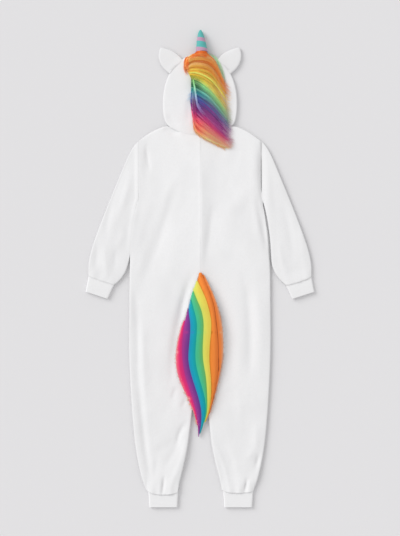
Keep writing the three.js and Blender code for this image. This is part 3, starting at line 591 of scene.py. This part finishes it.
def hornMaterial():
    material = newMaterial("hornPlush", hornValues["teal"], 0.8, 0.3)
    where = addNode(material, "ShaderNodeTexCoord")
    split = addNode(material, "ShaderNodeSeparateXYZ")
    connect(material, where.outputs["Object"], split.inputs["Vector"])
    lean = addNode(material, "ShaderNodeMath", operation="MULTIPLY_ADD")
    connect(material, split.outputs["X"], lean.inputs[0])
    lean.inputs[1].default_value = hornValues["tilt"]
    connect(material, split.outputs["Y"], lean.inputs[2])
    low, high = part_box("horn")
    share = addNode(material, "ShaderNodeMapRange")
    share.inputs["From Min"].default_value = low[1]
    share.inputs["From Max"].default_value = high[1]
    connect(material, lean.outputs["Value"], share.inputs["Value"])
    ramp = addNode(material, "ShaderNodeValToRGB")
    ramp.color_ramp.interpolation = "CONSTANT"
    colours = [hornValues["pink"], hornValues["teal"], hornValues["pink"], hornValues["teal"]]
    for i, (start, colour) in enumerate(zip(hornValues["bands"], colours)):
        stop = ramp.color_ramp.elements[i] if i < 2 else ramp.color_ramp.elements.new(start)
        stop.position = start
        stop.color = (*colour, 1)
    connect(material, share.outputs["Result"], ramp.inputs["Fac"])
    tufts = grain(material, 420, 3)
    tone = mixColour(material, tufts, (0.25, 0.4, 0.42), ramp.outputs["Color"], -0.4, 0.5)
    connect(material, tone, material.node_tree.nodes["Principled BSDF"].inputs["Base Color"])
    addBump(material, [(tufts, 0.3, 0.8 * mm)])
    return material


horn = softCopy("horn", "hornCone", levels=1, sharp=60)
finishPiece(horn, hornMaterial(), ["horn"])
print("horn made")


# ---- mane: long fur combed from the hood's seam down to the wearer's right

# one row for each edge that two colours share, in millimetres, from the root over crest and bend to the tip
maneEdges = [
    {"root": (-43, 567), "crest": (-25, 596), "bend": (38, 588), "tip": (69, 517)},
    {"root": (-36, 554), "crest": (-8, 556), "bend": (31, 543), "tip": (70, 491)},
    {"root": (-25, 531), "crest": (-3, 525), "bend": (34, 497), "tip": (71, 449)},
    {"root": (-25, 514), "crest": (-3, 505), "bend": (34, 477), "tip": (73, 427)},
    {"root": (-25, 486), "crest": (-3, 477), "bend": (34, 452), "tip": (76, 405)},
    {"root": (-27, 466), "crest": (-6, 447), "bend": (31, 410), "tip": (76, 367)},
    {"root": (-25, 447), "crest": (-6, 427), "bend": (28, 396), "tip": (76, 355)},
    {"root": (-22, 427), "crest": (-6, 408), "bend": (28, 380), "tip": (74, 346)},
    {"root": (-18, 405), "crest": (-9, 380), "bend": (25, 358), "tip": (70, 338)},
]
maneNames = ["orange", "yellow", "green", "teal", "purple", "magenta", "red", "amber"]
# colours across the whole mane, from the crown down: band number, colour and the colour of the thin tips,
# which are greyed towards tan: partly the thin hair over the white hood and partly a painted shadow of the
# mane on the hood
maneColours = [
    (0.0, "#fda05c", "#f08c4c"), (0.5, "#ffa054", "#f08a44"), (1.0, "#f9ae50", "#f0a24e"),
    (1.5, "#e9d258", "#e8c068"), (2.0, "#c4d258", "#ccb478"), (2.5, "#80c887", "#b0bc86"),
    (3.0, "#5ebe8e", "#a0ba90"), (3.5, "#2ca2a2", "#98aa98"), (4.0, "#4464a2", "#8884a0"),
    (4.5, "#562872", "#a85aa0"), (5.0, "#8a2a76", "#b8609e"), (5.5, "#b0206e", "#c2608f"),
    (6.0, "#d6265a", "#ca6888"), (6.5, "#e64e50", "#d69696"), (7.0, "#f36c4e", "#e6a698"),
    (7.5, "#f1924c", "#eab09a"), (8.0, "#ebbc66", "#e8c0a6"),
]
maneValues = {
    "strands": 460,
    "knots": 8,
    "radius": 0.52,
    "clumps": 10,
    "spread": 0.045,
    "shift": 0.26,
    "gather": 0.5,
    "wander": 1.8,
    "bright": 1.5,
    "palest": 0.76,
    "highlightShare": 0.1,
    "underTone": 0.95,
    "underFrom": 0.6,
    "underShrink": 0.72,
    "crownBand": 0.16,
    "liftLow": 0.1,
    "liftHigh": 1.7,
    "tipRise": 3.6,
    "longest": 1.06,
    "longer": 0.032,
    "rootShade": (0.5, 0.54, 0.65),
    "rootShift": 0.75,
    "gapShadeTone": 0.5,
    "seed": 41,
}
# loose hairs beside the locks, in millimetres and shares of a lock's length: a pair is the least and the most
looseHairs = {
    "haze": {"count": 70, "first": (0.7, 0.9), "reach": (0.25, 0.45), "out": (0.0, 12.0),
             "radius": (0.28, 0.42), "lift": (1.0, 3.0), "rise": (1.0, 3.5), "pale": 0.6},
    "hem": {"count": 240, "band": 7.9, "first": (0.02, 0.85), "reach": (0.14, 0.3), "out": (2.0, 10.0),
            "radius": (0.24, 0.42), "lift": (0.2, 1.2), "pale": 0.85, "colourBand": (7.2, 8.0),
            "tone": (0.75, 1.0), "tip": (0.9, 0.78, 0.66)},
    "parting": {"count": 40, "x": (-14, -6), "y": (-8, 8), "drop": (30, 56), "reach": (-25, -16),
                "radius": (0.4, 0.65), "lift": (0.8, 2.4), "pale": 0.3, "tone": (0.75, 1.15)},
    "line": {"count": 26, "shift": (-2.0, 1.6), "drop": (-6, 6), "radius": (0.4, 0.65), "lift": (2.2, 3.4),
             "pale": 0.0, "tone": 1.4,
             "route": [(-18, 522), (-14, 500), (-11, 478), (-7.5, 456), (2, 440), (12, 429), (21, 422)]},
    "blue": {"count": 26, "x": (-22, -14), "y": (476, 496), "run": (8, 22), "drop": (4, 16),
             "radius": (0.22, 0.36), "lift": (0.4, 1.4), "pale": 0.7,
             "colours": ("#a8cce8", "#bcdcf0", "#94bce0")},
    "crownTuft": {"count": 110, "x": (-40, -28), "y": (576, 594), "drop": (20, 40), "lean": (-5, 3),
                  "radius": (0.4, 0.65), "lift": (0.6, 2.0), "pale": 0.3},
    "crownHaze": {"count": 80, "out": (-2, 8), "first": (0.5, 0.66), "last": (0.85, 1.0),
                  "radius": (0.25, 0.38), "lift": (0.4, 1.6), "pale": 0.5,
                  "colours": ("#c2dcba", "#b0d2b4", "#cfe0c6")},
    "hornBase": {"count": 190, "x": (-36, 24), "run": (14, 30), "out": (-14, 0.5), "middle": 1, "top": 604.5,
                 "bow": 0.0105, "droop": 4, "radius": (0.45, 0.7), "lift": (0.4, 1.8), "pale": 0.2,
                 "against": (575, 603), "edge": 608},
}
crownColours = ("#ee7430", "#f58a3c", "#ec6c26", "#f79c52")

maneStops = [row[0] for row in maneColours]
maneRamps = [np.array([linear(row[column]) for row in maneColours]) * maneValues["bright"]
             for column in (1, 2)]


def bandColour(band, ramp=0):
    return np.array([np.interp(band, maneStops, maneRamps[ramp][:, k]) for k in range(3)])


# the yellow-green to teal locks are darker where they leave the parting
def rootTone(band, x):
    within = softStep(band, 1.6, 2.1) * (1 - softStep(band, 3.2, 3.8))
    return 1 - within * (1 - softStep(x, -6, 13)) * np.array(maneValues["rootShade"])


# near the parting the lower locks still have the colour of the lock above
def rootBand(band, x):
    return band - maneValues["rootShift"] * softStep(band, 3.9, 5.2) * (1 - softStep(x, -8, 24))


# a smooth curve through the four points of an edge, going on straight past its tip
def edgePoint(edge, share):
    points = np.array([edge[key] for key in ("root", "crest", "bend", "tip")], float)
    place = min(max(share, 0.0), 1.0) * 3
    i = min(int(place), 2)
    t = place - i
    before, after = points[max(i - 1, 0)], points[min(i + 2, 3)]
    a, b = points[i], points[i + 1]
    slopeA, slopeB = (b - before) / 2, (after - a) / 2
    value = (2 * t ** 3 - 3 * t * t + 1) * a + (t ** 3 - 2 * t * t + t) * slopeA
    value = value + (3 * t * t - 2 * t ** 3) * b + (t ** 3 - t * t) * slopeB
    if share > 1:
        value = value + (points[3] - points[2]) * 0.9 * (share - 1)
    return value


def manePoint(band, share):
    band = max(band, maneValues["crownBand"] * float(softStep(share, 0.3, 0.65)))
    i = min(max(int(band), 0), len(maneEdges) - 2)
    across = band - i
    return edgePoint(maneEdges[i], share) * (1 - across) + edgePoint(maneEdges[i + 1], share) * across


clothTree = treeOf([clothPieces[name] for name in ("hood_left", "hood_right", "back_left", "back_right")])
hornTree = treeOf([horn])
maneTree = treeOf([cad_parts[f"mane_{name}"] for name in maneNames])


def furHeight(x, y):
    cloth = max(heightOn(clothTree, x, y, 3.0), heightOn(hornTree, x, y, 0.0))
    return max(heightOn(maneTree, x, y, cloth + 1.2), cloth + 0.8)


# tapered three-sided strands in one mesh, each with its own colour that pales towards the tip
def strandMesh(name, strands, layerName="furColour"):
    vertices, faces, colours = [], [], []
    for strand in strands:
        points = np.array(strand["points"])
        count = len(points)
        start = len(vertices)
        tangents = np.gradient(points, axis=0)
        for k in range(count):
            tangent = tangents[k] / max(np.linalg.norm(tangents[k]), 1e-6)
            side = np.cross(tangent, (0, 0, 1))
            side = side / max(np.linalg.norm(side), 1e-6)
            up = np.cross(side, tangent)
            share = k / (count - 1)
            radius = strand["radius"] * (0.55 + 0.45 * min(share * 5, 1)) * (1 - 0.75 * share ** 2.2)
            pale = strand["pale"] * share ** 2.3
            own = strand["colour"](points[k]) if callable(strand["colour"]) else strand["colour"]
            colour = np.minimum(own * (1 - pale) + strand["tipColour"] * pale, 0.95)
            for turn in (90, 210, 330):
                away = radius * (math.cos(math.radians(turn)) * side + math.sin(math.radians(turn)) * up)
                vertices.append((points[k] + away) * mm)
                colours.append((*colour, 1))
            if k:
                for j in range(3):
                    a, b = start + 3 * k - 3 + j, start + 3 * k - 3 + (j + 1) % 3
                    faces.append((a, b, b + 3, a + 3))
        faces.append((start + 2, start + 1, start))
        end = start + 3 * (count - 1)
        faces.append((end, end + 1, end + 2))
    mesh = bpy.data.meshes.new(name)
    mesh.from_pydata([tuple(v) for v in vertices], [], faces)
    layer = mesh.color_attributes.new(layerName, "FLOAT_COLOR", "POINT")
    layer.data.foreach_set("color", np.array(colours).ravel())
    piece = bpy.data.objects.new(name, mesh)
    bpy.context.scene.collection.objects.link(piece)
    return piece


# the form under the strands: drawn in from the tips, a little lower, in the colours of the strands over it
def makeUnderForm(piece, band):
    values = maneValues
    points = pointsOf(piece) / mm
    steps = 60
    start = values["underFrom"]
    grid = np.array([(band + v / 4, u / steps, *manePoint(band + v / 4, u / steps))
                     for v in range(5) for u in range(steps + 1)])
    colours = []
    for k, (x, y, z) in enumerate(points):
        place, share, nearX, nearY = grid[np.argmin((grid[:, 2] - x) ** 2 + (grid[:, 3] - y) ** 2)]
        colour = bandColour(rootBand(place, x)) * rootTone(place, x) * values["underTone"] / values["bright"]
        colours.append((*np.minimum(colour, 0.95), 1))
        if share > start:
            drawn = manePoint(place, start + (share - start) * values["underShrink"])
            points[k, :2] += drawn - np.array([nearX, nearY])
    points[:, 2] -= 0.6
    setPoints(piece, points * mm)
    layer = piece.data.color_attributes.new("furColour", "FLOAT_COLOR", "POINT")
    layer.data.foreach_set("color", np.array(colours).ravel())


random.seed(maneValues["seed"])
fur = furMaterial("maneFur")
paleTip = np.array([0.82, 0.76, 0.68])


def laidStrand(path, colour, radius, lift, pale=0.5, tip=paleTip, ground=furHeight, rise=0.0):
    points = []
    for k, (x, y) in enumerate(path):
        share = k / (len(path) - 1)
        bowed = lift * math.sin(math.pi * (0.15 + 0.7 * share)) + rise * float(softStep(share, 0.5, 1.0))
        points.append((x, y, ground(x, y) + bowed + 0.25))
    heights = [p[2] for p in points]
    for k in range(1, len(points) - 1):
        smooth = (heights[k - 1] + 2 * heights[k] + heights[k + 1]) / 4
        points[k] = (points[k][0], points[k][1], max(smooth, heights[k] - 1.0))
    return {"points": points, "radius": radius, "colour": colour, "pale": pale, "tipColour": tip}


def bandStrands(band):
    values = maneValues
    low, high = (0.0 if band == 0 else -0.12), (1.06 if band == 7 else 1.12)
    clumps = []
    for i in range(values["clumps"]):
        centre = low + (high - low) * (i + random.random()) / values["clumps"]
        shift = random.uniform(-1, 1) * values["shift"]
        # about one clump in seven is painted much darker: a painted shade in the gaps between the locks
        tone = values["gapShadeTone"] if random.random() < 0.14 else random.uniform(0.74, 1.34)
        clumps.append((centre, shift, tone, random.uniform(-0.12, 0.1)))
    strands = []
    for i in range(values["strands"]):
        centre, shift, tone, reach = random.choice(clumps)
        across = min(max(random.gauss(centre, values["spread"]), low), high)
        first = random.uniform(0.0, 0.45) if random.random() < 0.6 else 0.0
        last = min(0.71 + reach + random.expovariate(7), values["longest"] + values["longer"] * band + reach)
        phase, swing = random.uniform(0, 6.28), random.uniform(0.3, 1.0) * values["wander"]
        path = []
        for k in range(values["knots"]):
            share = k / (values["knots"] - 1)
            along = first + (last - first) * share
            lean = across + (centre - across) * values["gather"] * share
            x, y = manePoint(band + lean, along)
            sway = swing * math.sin(phase + 3.2 * share) * (0.3 + 0.7 * share)
            path.append((x + 0.6 * sway, y + 0.8 * sway))
        light = tone * random.uniform(0.88, 1.1)
        # the brightest clumps and a few strands besides are mixed with white: a painted highlight
        white = 0.15 if tone > 1.15 or random.random() < values["highlightShare"] else 0.0

        def colourAt(point, place=band + across, shift=shift, light=light, white=white):
            colour = bandColour(rootBand(place + shift, point[0])) * light * rootTone(place, point[0])
            return colour * (1 - white) + white

        radius = values["radius"] * random.uniform(0.7, 1.25)
        lift = random.uniform(values["liftLow"], values["liftHigh"])
        tip = bandColour(band + across + shift, 1)
        rise = values["tipRise"] * random.uniform(0.3, 1.0)
        strands.append(laidStrand(path, colourAt, radius, lift, values["palest"], tip, rise=rise))
    return strands


# one random value from each range that is named
def draw(values, *keys):
    return [random.uniform(*values[key]) for key in keys]


# a loose hair, its thickness and how high it stands taken from the ranges in its row
def looseHair(path, colour, values, tip=paleTip, ground=furHeight):
    radius, lift = draw(values, "radius", "lift")
    rise = random.uniform(*values["rise"]) if "rise" in values else 0.0
    return laidStrand(path, colour, radius, lift, values["pale"], tip, ground, rise)


# pale, very fine hairs past the tips of a lock, in the greyed tip colour, which partly paints the mane's
# shadow on the hood
def hazeStrands(band):
    values = looseHairs["haze"]
    strands = []
    for i in range(values["count"]):
        across = band + random.uniform(0.0, 1.0)
        first, reach, out = draw(values, "first", "reach", "out")
        path = []
        for k in range(6):
            x, y = manePoint(across, first + reach * k / 5)
            path.append((x + out * (k / 5) ** 1.5, y + 0.4 * out * (k / 5) ** 1.5))
        colour = bandColour(across, 1) * 0.6 + 0.25
        strands.append(looseHair(path, colour, values))
    return strands


# loose hairs that hang over the mane's lower edge
def hemStrands():
    values = looseHairs["hem"]
    strands = []
    for i in range(values["count"]):
        first, reach, out = draw(values, "first", "reach", "out")
        path = []
        for k in range(7):
            x, y = manePoint(values["band"], first + reach * k / 6)
            path.append((x - 0.3 * out * k / 6, y - out * (k / 6) ** 1.5))
        colour = bandColour(random.uniform(*values["colourBand"])) * random.uniform(*values["tone"])
        strands.append(looseHair(path, colour, values, np.array(values["tip"])))
    return strands


# colours down the parting, in millimetres from the middle of the onesie: of the hair that falls to its
# left, and of the light line itself
partingColours = [
    (525, "#a8cf68", "#9ad07c"), (503, "#58a888", "#9ccfb0"), (482, "#6088a8", "#a8c0d0"),
    (460, "#78407c", "#9a98c0"), (438, "#9c2c78", "#9a6ca8"), (416, "#d43868", "#b87c98"),
    (395, "#f07c4c", "#d08878"), (380, "#f0a458", "#d89878"),
]


def partingColour(column, tone):
    heights = [row[0] for row in reversed(partingColours)]
    colours = np.array([linear(row[column]) for row in reversed(partingColours)])

    def colourAt(point):
        return np.array([np.interp(point[1], heights, colours[:, k]) for k in range(3)]) * tone

    return colourAt


# strands that fall to the left of the parting, nearly straight down
def partingStrands(band):
    values = looseHairs["parting"]
    strands = []
    top = manePoint(band + 0.5, 0.0)
    for i in range(values["count"]):
        x, aside, drop, reach = draw(values, "x", "y", "drop", "reach")
        y = top[1] + aside
        reach += 0.05 * (maneEdges[2]["root"][1] - y)
        path = []
        for k in range(7):
            share = k / 6
            bowed = math.sin(share * math.pi / 2) ** 0.8
            path.append((x + (reach - x) * bowed, y - drop * share ** 1.3))
        colour = partingColour(1, maneValues["bright"] * random.uniform(*values["tone"]))
        strands.append(looseHair(path, colour, values))
    return strands


# light strands along the parting
def partingLine():
    values = looseHairs["line"]
    strands = []
    for i in range(values["count"]):
        shift, drop = draw(values, "shift", "drop")
        path = [(x + shift, y + drop) for x, y in values["route"]]
        colour = partingColour(2, values["tone"])
        strands.append(looseHair(path, colour, values))
    return strands


# a few pale blue hairs that stand out to the left of the parting
def blueTuft():
    values = looseHairs["blue"]
    strands = []
    for i in range(values["count"]):
        x, y, run, drop = draw(values, "x", "y", "run", "drop")
        path = [(x - run * k / 5, y - drop * (k / 5) ** 1.4) for k in range(6)]
        colour = np.array(linear(random.choice(values["colours"]))) * 1.2
        strands.append(looseHair(path, colour, values))
    return strands


# the fur at the crown lies up against the horn's base
def crownLift(x, y):
    values = looseHairs["hornBase"]
    against = float(softStep(y, *values["against"]))
    own, atEdge = furHeight(x, y), furHeight(x, values["edge"])
    return own * (1 - against) + max(own, atEdge) * against


def crownColour():
    return np.array(linear(random.choice(crownColours))) * maneValues["bright"] * random.uniform(0.8, 1.1)


# a tuft that hangs over the seam at the crown, fur round the horn's base, and a faint green haze beside it
def crownStrands():
    strands = []
    values = looseHairs["crownTuft"]
    for i in range(values["count"]):
        x, y, drop, lean = draw(values, "x", "y", "drop", "lean")
        path = [(x + lean * k / 6 - 4.2 * math.sin(math.pi * k / 6), y - drop * k / 6) for k in range(7)]
        colour = crownColour()
        strands.append(looseHair(path, colour, values))
    values = looseHairs["crownHaze"]
    for i in range(values["count"]):
        out, first, last = draw(values, "out", "first", "last")
        path = []
        for k in range(7):
            along = first + (last - first) * k / 6
            x, y = edgePoint(maneEdges[0], along)
            path.append((x + out * 0.75, y + out * 0.6))
        colour = np.array(linear(random.choice(values["colours"]))) * 1.3
        strands.append(looseHair(path, colour, values))
    values = looseHairs["hornBase"]
    for i in range(values["count"]):
        x, run, out = draw(values, "x", "run", "out")
        path = []
        for k in range(7):
            along = x + run * k / 6
            bowed = values["bow"] * (along - values["middle"]) ** 2
            path.append((along, values["top"] + out - bowed - values["droop"] * (k / 6) ** 2))
        colour = crownColour()
        strands.append(looseHair(path, colour, values, ground=crownLift))
    return strands


for band, name in enumerate(maneNames):
    underForm = softCopy(f"mane_{name}", f"mane{name.capitalize()}Under", levels=2)
    makeUnderForm(underForm, band)
    strands = bandStrands(band) + hazeStrands(band)
    if name in ("teal", "purple", "magenta", "red"):
        strands += partingStrands(band)
    if name == "purple":
        strands += partingLine() + blueTuft()
    if name == "orange":
        strands += crownStrands()
    if name == "amber":
        strands += hemStrands()
    piece = strandMesh(f"mane{name.capitalize()}", strands)
    piece.data.materials.append(fur)
    underForm.data.materials.clear()
    underForm.data.materials.append(fur)
    pickOnly(piece)
    underForm.select_set(True)
    bpy.ops.object.join()
    finishPiece(piece, fur, [f"mane_{name}"], 60)
print("mane made")


# ---- tail: smooth plush stripes on a white backing, with a thin fringe of pile along its two sides

# each stripe's colours at its left side, a little way in, at its middle and at its right side; the pale left
# side of the pink and the pale right side of the amber are painted highlights, and the dark left sides of the
# orange and the amber are painted shade in the creases beside them
stripeStops = (0, 0.16, 0.5, 1)
tailColours = {
    "pink": ("#f09098", "#ea5a78", "#df2b6c", "#c22e7c"),
    "purple": ("#a6358a", "#9c378b", "#84388c", "#5f3688"),
    "teal": ("#2b90bb", "#1c96ba", "#0ca2b6", "#139e96"),
    "green": ("#3fbd95", "#44bc8e", "#4fb97e", "#66ad5c"),
    "yellow": ("#cbd964", "#d6da60", "#e3d65a", "#e4cb52"),
    "orange": ("#c07420", "#ee8834", "#f68c3c", "#e27632"),
    "amber": ("#86380f", "#e87a34", "#f68a44", "#ffb080"),
}
# the fringe is paler than the stripes it grows beside: its pale colours are a painted highlight on the pile
fringeValues = {
    "left": {"colours": ("#f5c4c8", "#f4aeb0", "#f6b8a8", "#f2d6d8"), "from": -150, "to": -440,
             "count": 1500},
    "leftTop": {"colours": ("#eaf2f6", "#e4eaf2", "#f0eef2"), "from": -20, "to": -150, "count": 500},
    "leftLow": {"colours": ("#f6cfae", "#f4c49c", "#f8dcc4", "#f0b48a"), "from": -340, "to": -440,
                "count": 500},
    "right": {"colours": ("#ecc4a8", "#e4b8a2", "#eccdb8", "#eca680"), "from": -30, "to": -400,
              "count": 1700},
    "length": (1.5, 6.5),
    "radius": (0.12, 0.2),
}


# where a group of pieces ends on its left and its right at each height, in millimetres
def sidesOf(points, step=4.0):
    rows = np.round(points[:, 1] / step).astype(int)
    heights = np.unique(rows)
    left = [points[rows == row, 0].min() for row in heights]
    right = [points[rows == row, 0].max() for row in heights]
    return heights * step, np.array(left), np.array(right)


def paintStripe(piece, colours):
    points = pointsOf(piece) / mm
    heights, left, right = sidesOf(points)
    low, high = np.interp(points[:, 1], heights, left), np.interp(points[:, 1], heights, right)
    share = np.clip((points[:, 0] - low) / np.maximum(high - low, 0.5), 0, 1)
    stops = np.array([linear(colour) for colour in colours])
    channels = [np.interp(share, stripeStops, stops[:, k]) for k in range(3)]
    paint(piece, "napColourAndPaintedLight", np.stack(channels, axis=1))


backing = softCopy("tail_backing", "tailBacking", levels=1)
# the backing gets the same painted shade as the rest of the white cloth
paintWhiteAndShade(backing)
finishPiece(backing, fleece, ["tail_backing"])

tailPlush = plushMaterial("tailPlush", 0.9, 0.15, (1, 0.12, 1))
stripes = {}
for name, colours in tailColours.items():
    stripe = softCopy(f"tail_{name}", f"tail{name.capitalize()}", levels=2, sharp=35)
    meetSeams(stripe, 0.28)
    paintStripe(stripe, colours)
    stripes[name] = stripe

tailPoints = np.vstack([pointsOf(stripe) for stripe in stripes.values()]) / mm
tailHeights, tailLeft, tailRight = sidesOf(tailPoints)
backTree = treeOf([clothPieces["back_left"], clothPieces["back_right"]])


# short pile that leans out and down over one side of the tail, in pale colours that paint a highlight on it
def fringeStrands(values, sideX, sign):
    strands = []
    for i in range(values["count"]):
        y = random.uniform(values["from"], values["to"])
        x = np.interp(y, tailHeights, sideX) - sign * random.uniform(0.5, 2.5)
        length = random.uniform(*fringeValues["length"])
        slant = random.uniform(-1.2, -0.2)
        start = heightOn(treeTail, x, y, 14.0)
        cloth = heightOn(backTree, x + sign * length, y, 3.0)
        end = cloth + random.uniform(0.5, max(start - cloth, 2.0) * 0.6)
        points = []
        for k in range(4):
            share = k / 3
            height = start + (end - start) * share ** 1.6
            points.append((x + sign * length * share, y + length * slant * share, height))
        colour = np.array(linear(random.choice(values["colours"])))
        strands.append({"points": points, "radius": random.uniform(*fringeValues["radius"]), "colour": colour,
                        "pale": 0.5, "tipColour": paleTip})
    return strands


treeTail = treeOf(stripes.values())
fringes = {
    "pink": [("left", tailLeft, -1), ("leftLow", tailLeft, -1)],
    "purple": [("leftTop", tailLeft, -1)],
    "amber": [("right", tailRight, 1)],
}
for name, stripe in stripes.items():
    for key, sideX, sign in fringes.get(name, []):
        fringe = strandMesh(f"{name}Fringe", fringeStrands(fringeValues[key], sideX, sign), "napColourAndPaintedLight")
        pickOnly(stripe)
        fringe.select_set(True)
        bpy.ops.object.join()
    finishPiece(stripe, tailPlush, [f"tail_{name}"], 60)
print("tail made")


# ---- front buttons: rimmed discs with four sewing holes

buttonValues = {
    "radius": 8.9,
    "thickness": 2.0,
    "rim": 1.6,
    "rimStep": 0.5,
    "dish": 0.5,
    "edge": 0.3,
    "hole": 0.85,
    "spread": 1.9,
    "sides": 48,
}
pearl = newMaterial("pearlButton", (0.83, 0.82, 0.8), 0.28)
pearl.node_tree.nodes["Principled BSDF"].inputs["Coat Weight"].default_value = 0.4
addBump(pearl, [(grain(pearl, 260, 3), 0.1, 0.3 * mm)])


def makeButton(index):
    values = buttonValues
    low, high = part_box(f"button_{index}")
    middle = [(low[k] + high[k]) / 2 for k in range(3)]
    bpy.ops.object.select_all(action="DESELECT")
    bpy.ops.mesh.primitive_cylinder_add(vertices=values["sides"], radius=values["radius"] * mm,
                                        depth=values["thickness"] * mm, location=middle)
    piece = bpy.context.active_object
    piece.name = f"button{index}"
    bpy.ops.object.transform_apply(location=True, rotation=True, scale=True)
    bpy.ops.object.mode_set(mode="EDIT")
    bpy.context.tool_settings.mesh_select_mode = (False, False, True)
    bpy.ops.mesh.select_all(action="DESELECT")
    bpy.ops.object.mode_set(mode="OBJECT")
    for face in piece.data.polygons:
        face.select = face.normal.z < -0.9
    bpy.ops.object.mode_set(mode="EDIT")
    bpy.ops.mesh.inset(thickness=values["rim"] * mm)
    bpy.ops.mesh.inset(thickness=values["rimStep"] * mm)
    bpy.ops.transform.translate(value=(0, 0, values["dish"] * mm))
    bpy.ops.object.mode_set(mode="OBJECT")
    applyModifier(piece, "BEVEL", width=values["edge"] * mm, segments=2, limit_method="ANGLE",
                  angle_limit=math.radians(50))
    for i in range(4):
        angle = math.radians(45 + 90 * i)
        reach = values["spread"] * mm
        place = (middle[0] + reach * math.cos(angle), middle[1] + reach * math.sin(angle), middle[2])
        bpy.ops.object.select_all(action="DESELECT")
        bpy.ops.mesh.primitive_cylinder_add(vertices=16, radius=values["hole"] * mm, depth=8 * mm,
                                            location=place)
        cutter = bpy.context.active_object
        applyModifier(piece, "BOOLEAN", operation="DIFFERENCE", solver="EXACT", object=cutter)
        bpy.data.objects.remove(cutter)
    return finishPiece(piece, pearl, [f"button_{index}"], 30)


for index in range(1, 6):
    makeButton(index)
print("buttons made")


# ---- floor and light: a plain pale ground, one soft light from the upper left and a bright room

stageValues = {
    "floorColour": (0.76, 0.755, 0.765),
    "keyFrom": (-0.702, 0.507, 0.5),
    "keySoftness": 34,
    "keyPower": 1.63,
    "worldColour": (1.0, 0.995, 1.0),
    "worldPower": 0.74,
}

floor.data.materials.append(newMaterial("paleFloor", stageValues["floorColour"], 0.9))

keyData = bpy.data.lights.new("keyLight", "SUN")
keyData.angle = math.radians(stageValues["keySoftness"])
keyData.energy = stageValues["keyPower"]
keyLight = bpy.data.objects.new("keyLight", keyData)
keyLight.rotation_euler = (-Vector(stageValues["keyFrom"])).to_track_quat("-Z", "Y").to_euler()
bpy.context.scene.collection.objects.link(keyLight)

world = bpy.data.worlds.new("room")
world.use_nodes = True
world.node_tree.nodes["Background"].inputs["Color"].default_value = (*stageValues["worldColour"], 1)
world.node_tree.nodes["Background"].inputs["Strength"].default_value = stageValues["worldPower"]
bpy.context.scene.world = world
bpy.context.scene.view_settings.view_transform = "Standard"
print("floor and light set")
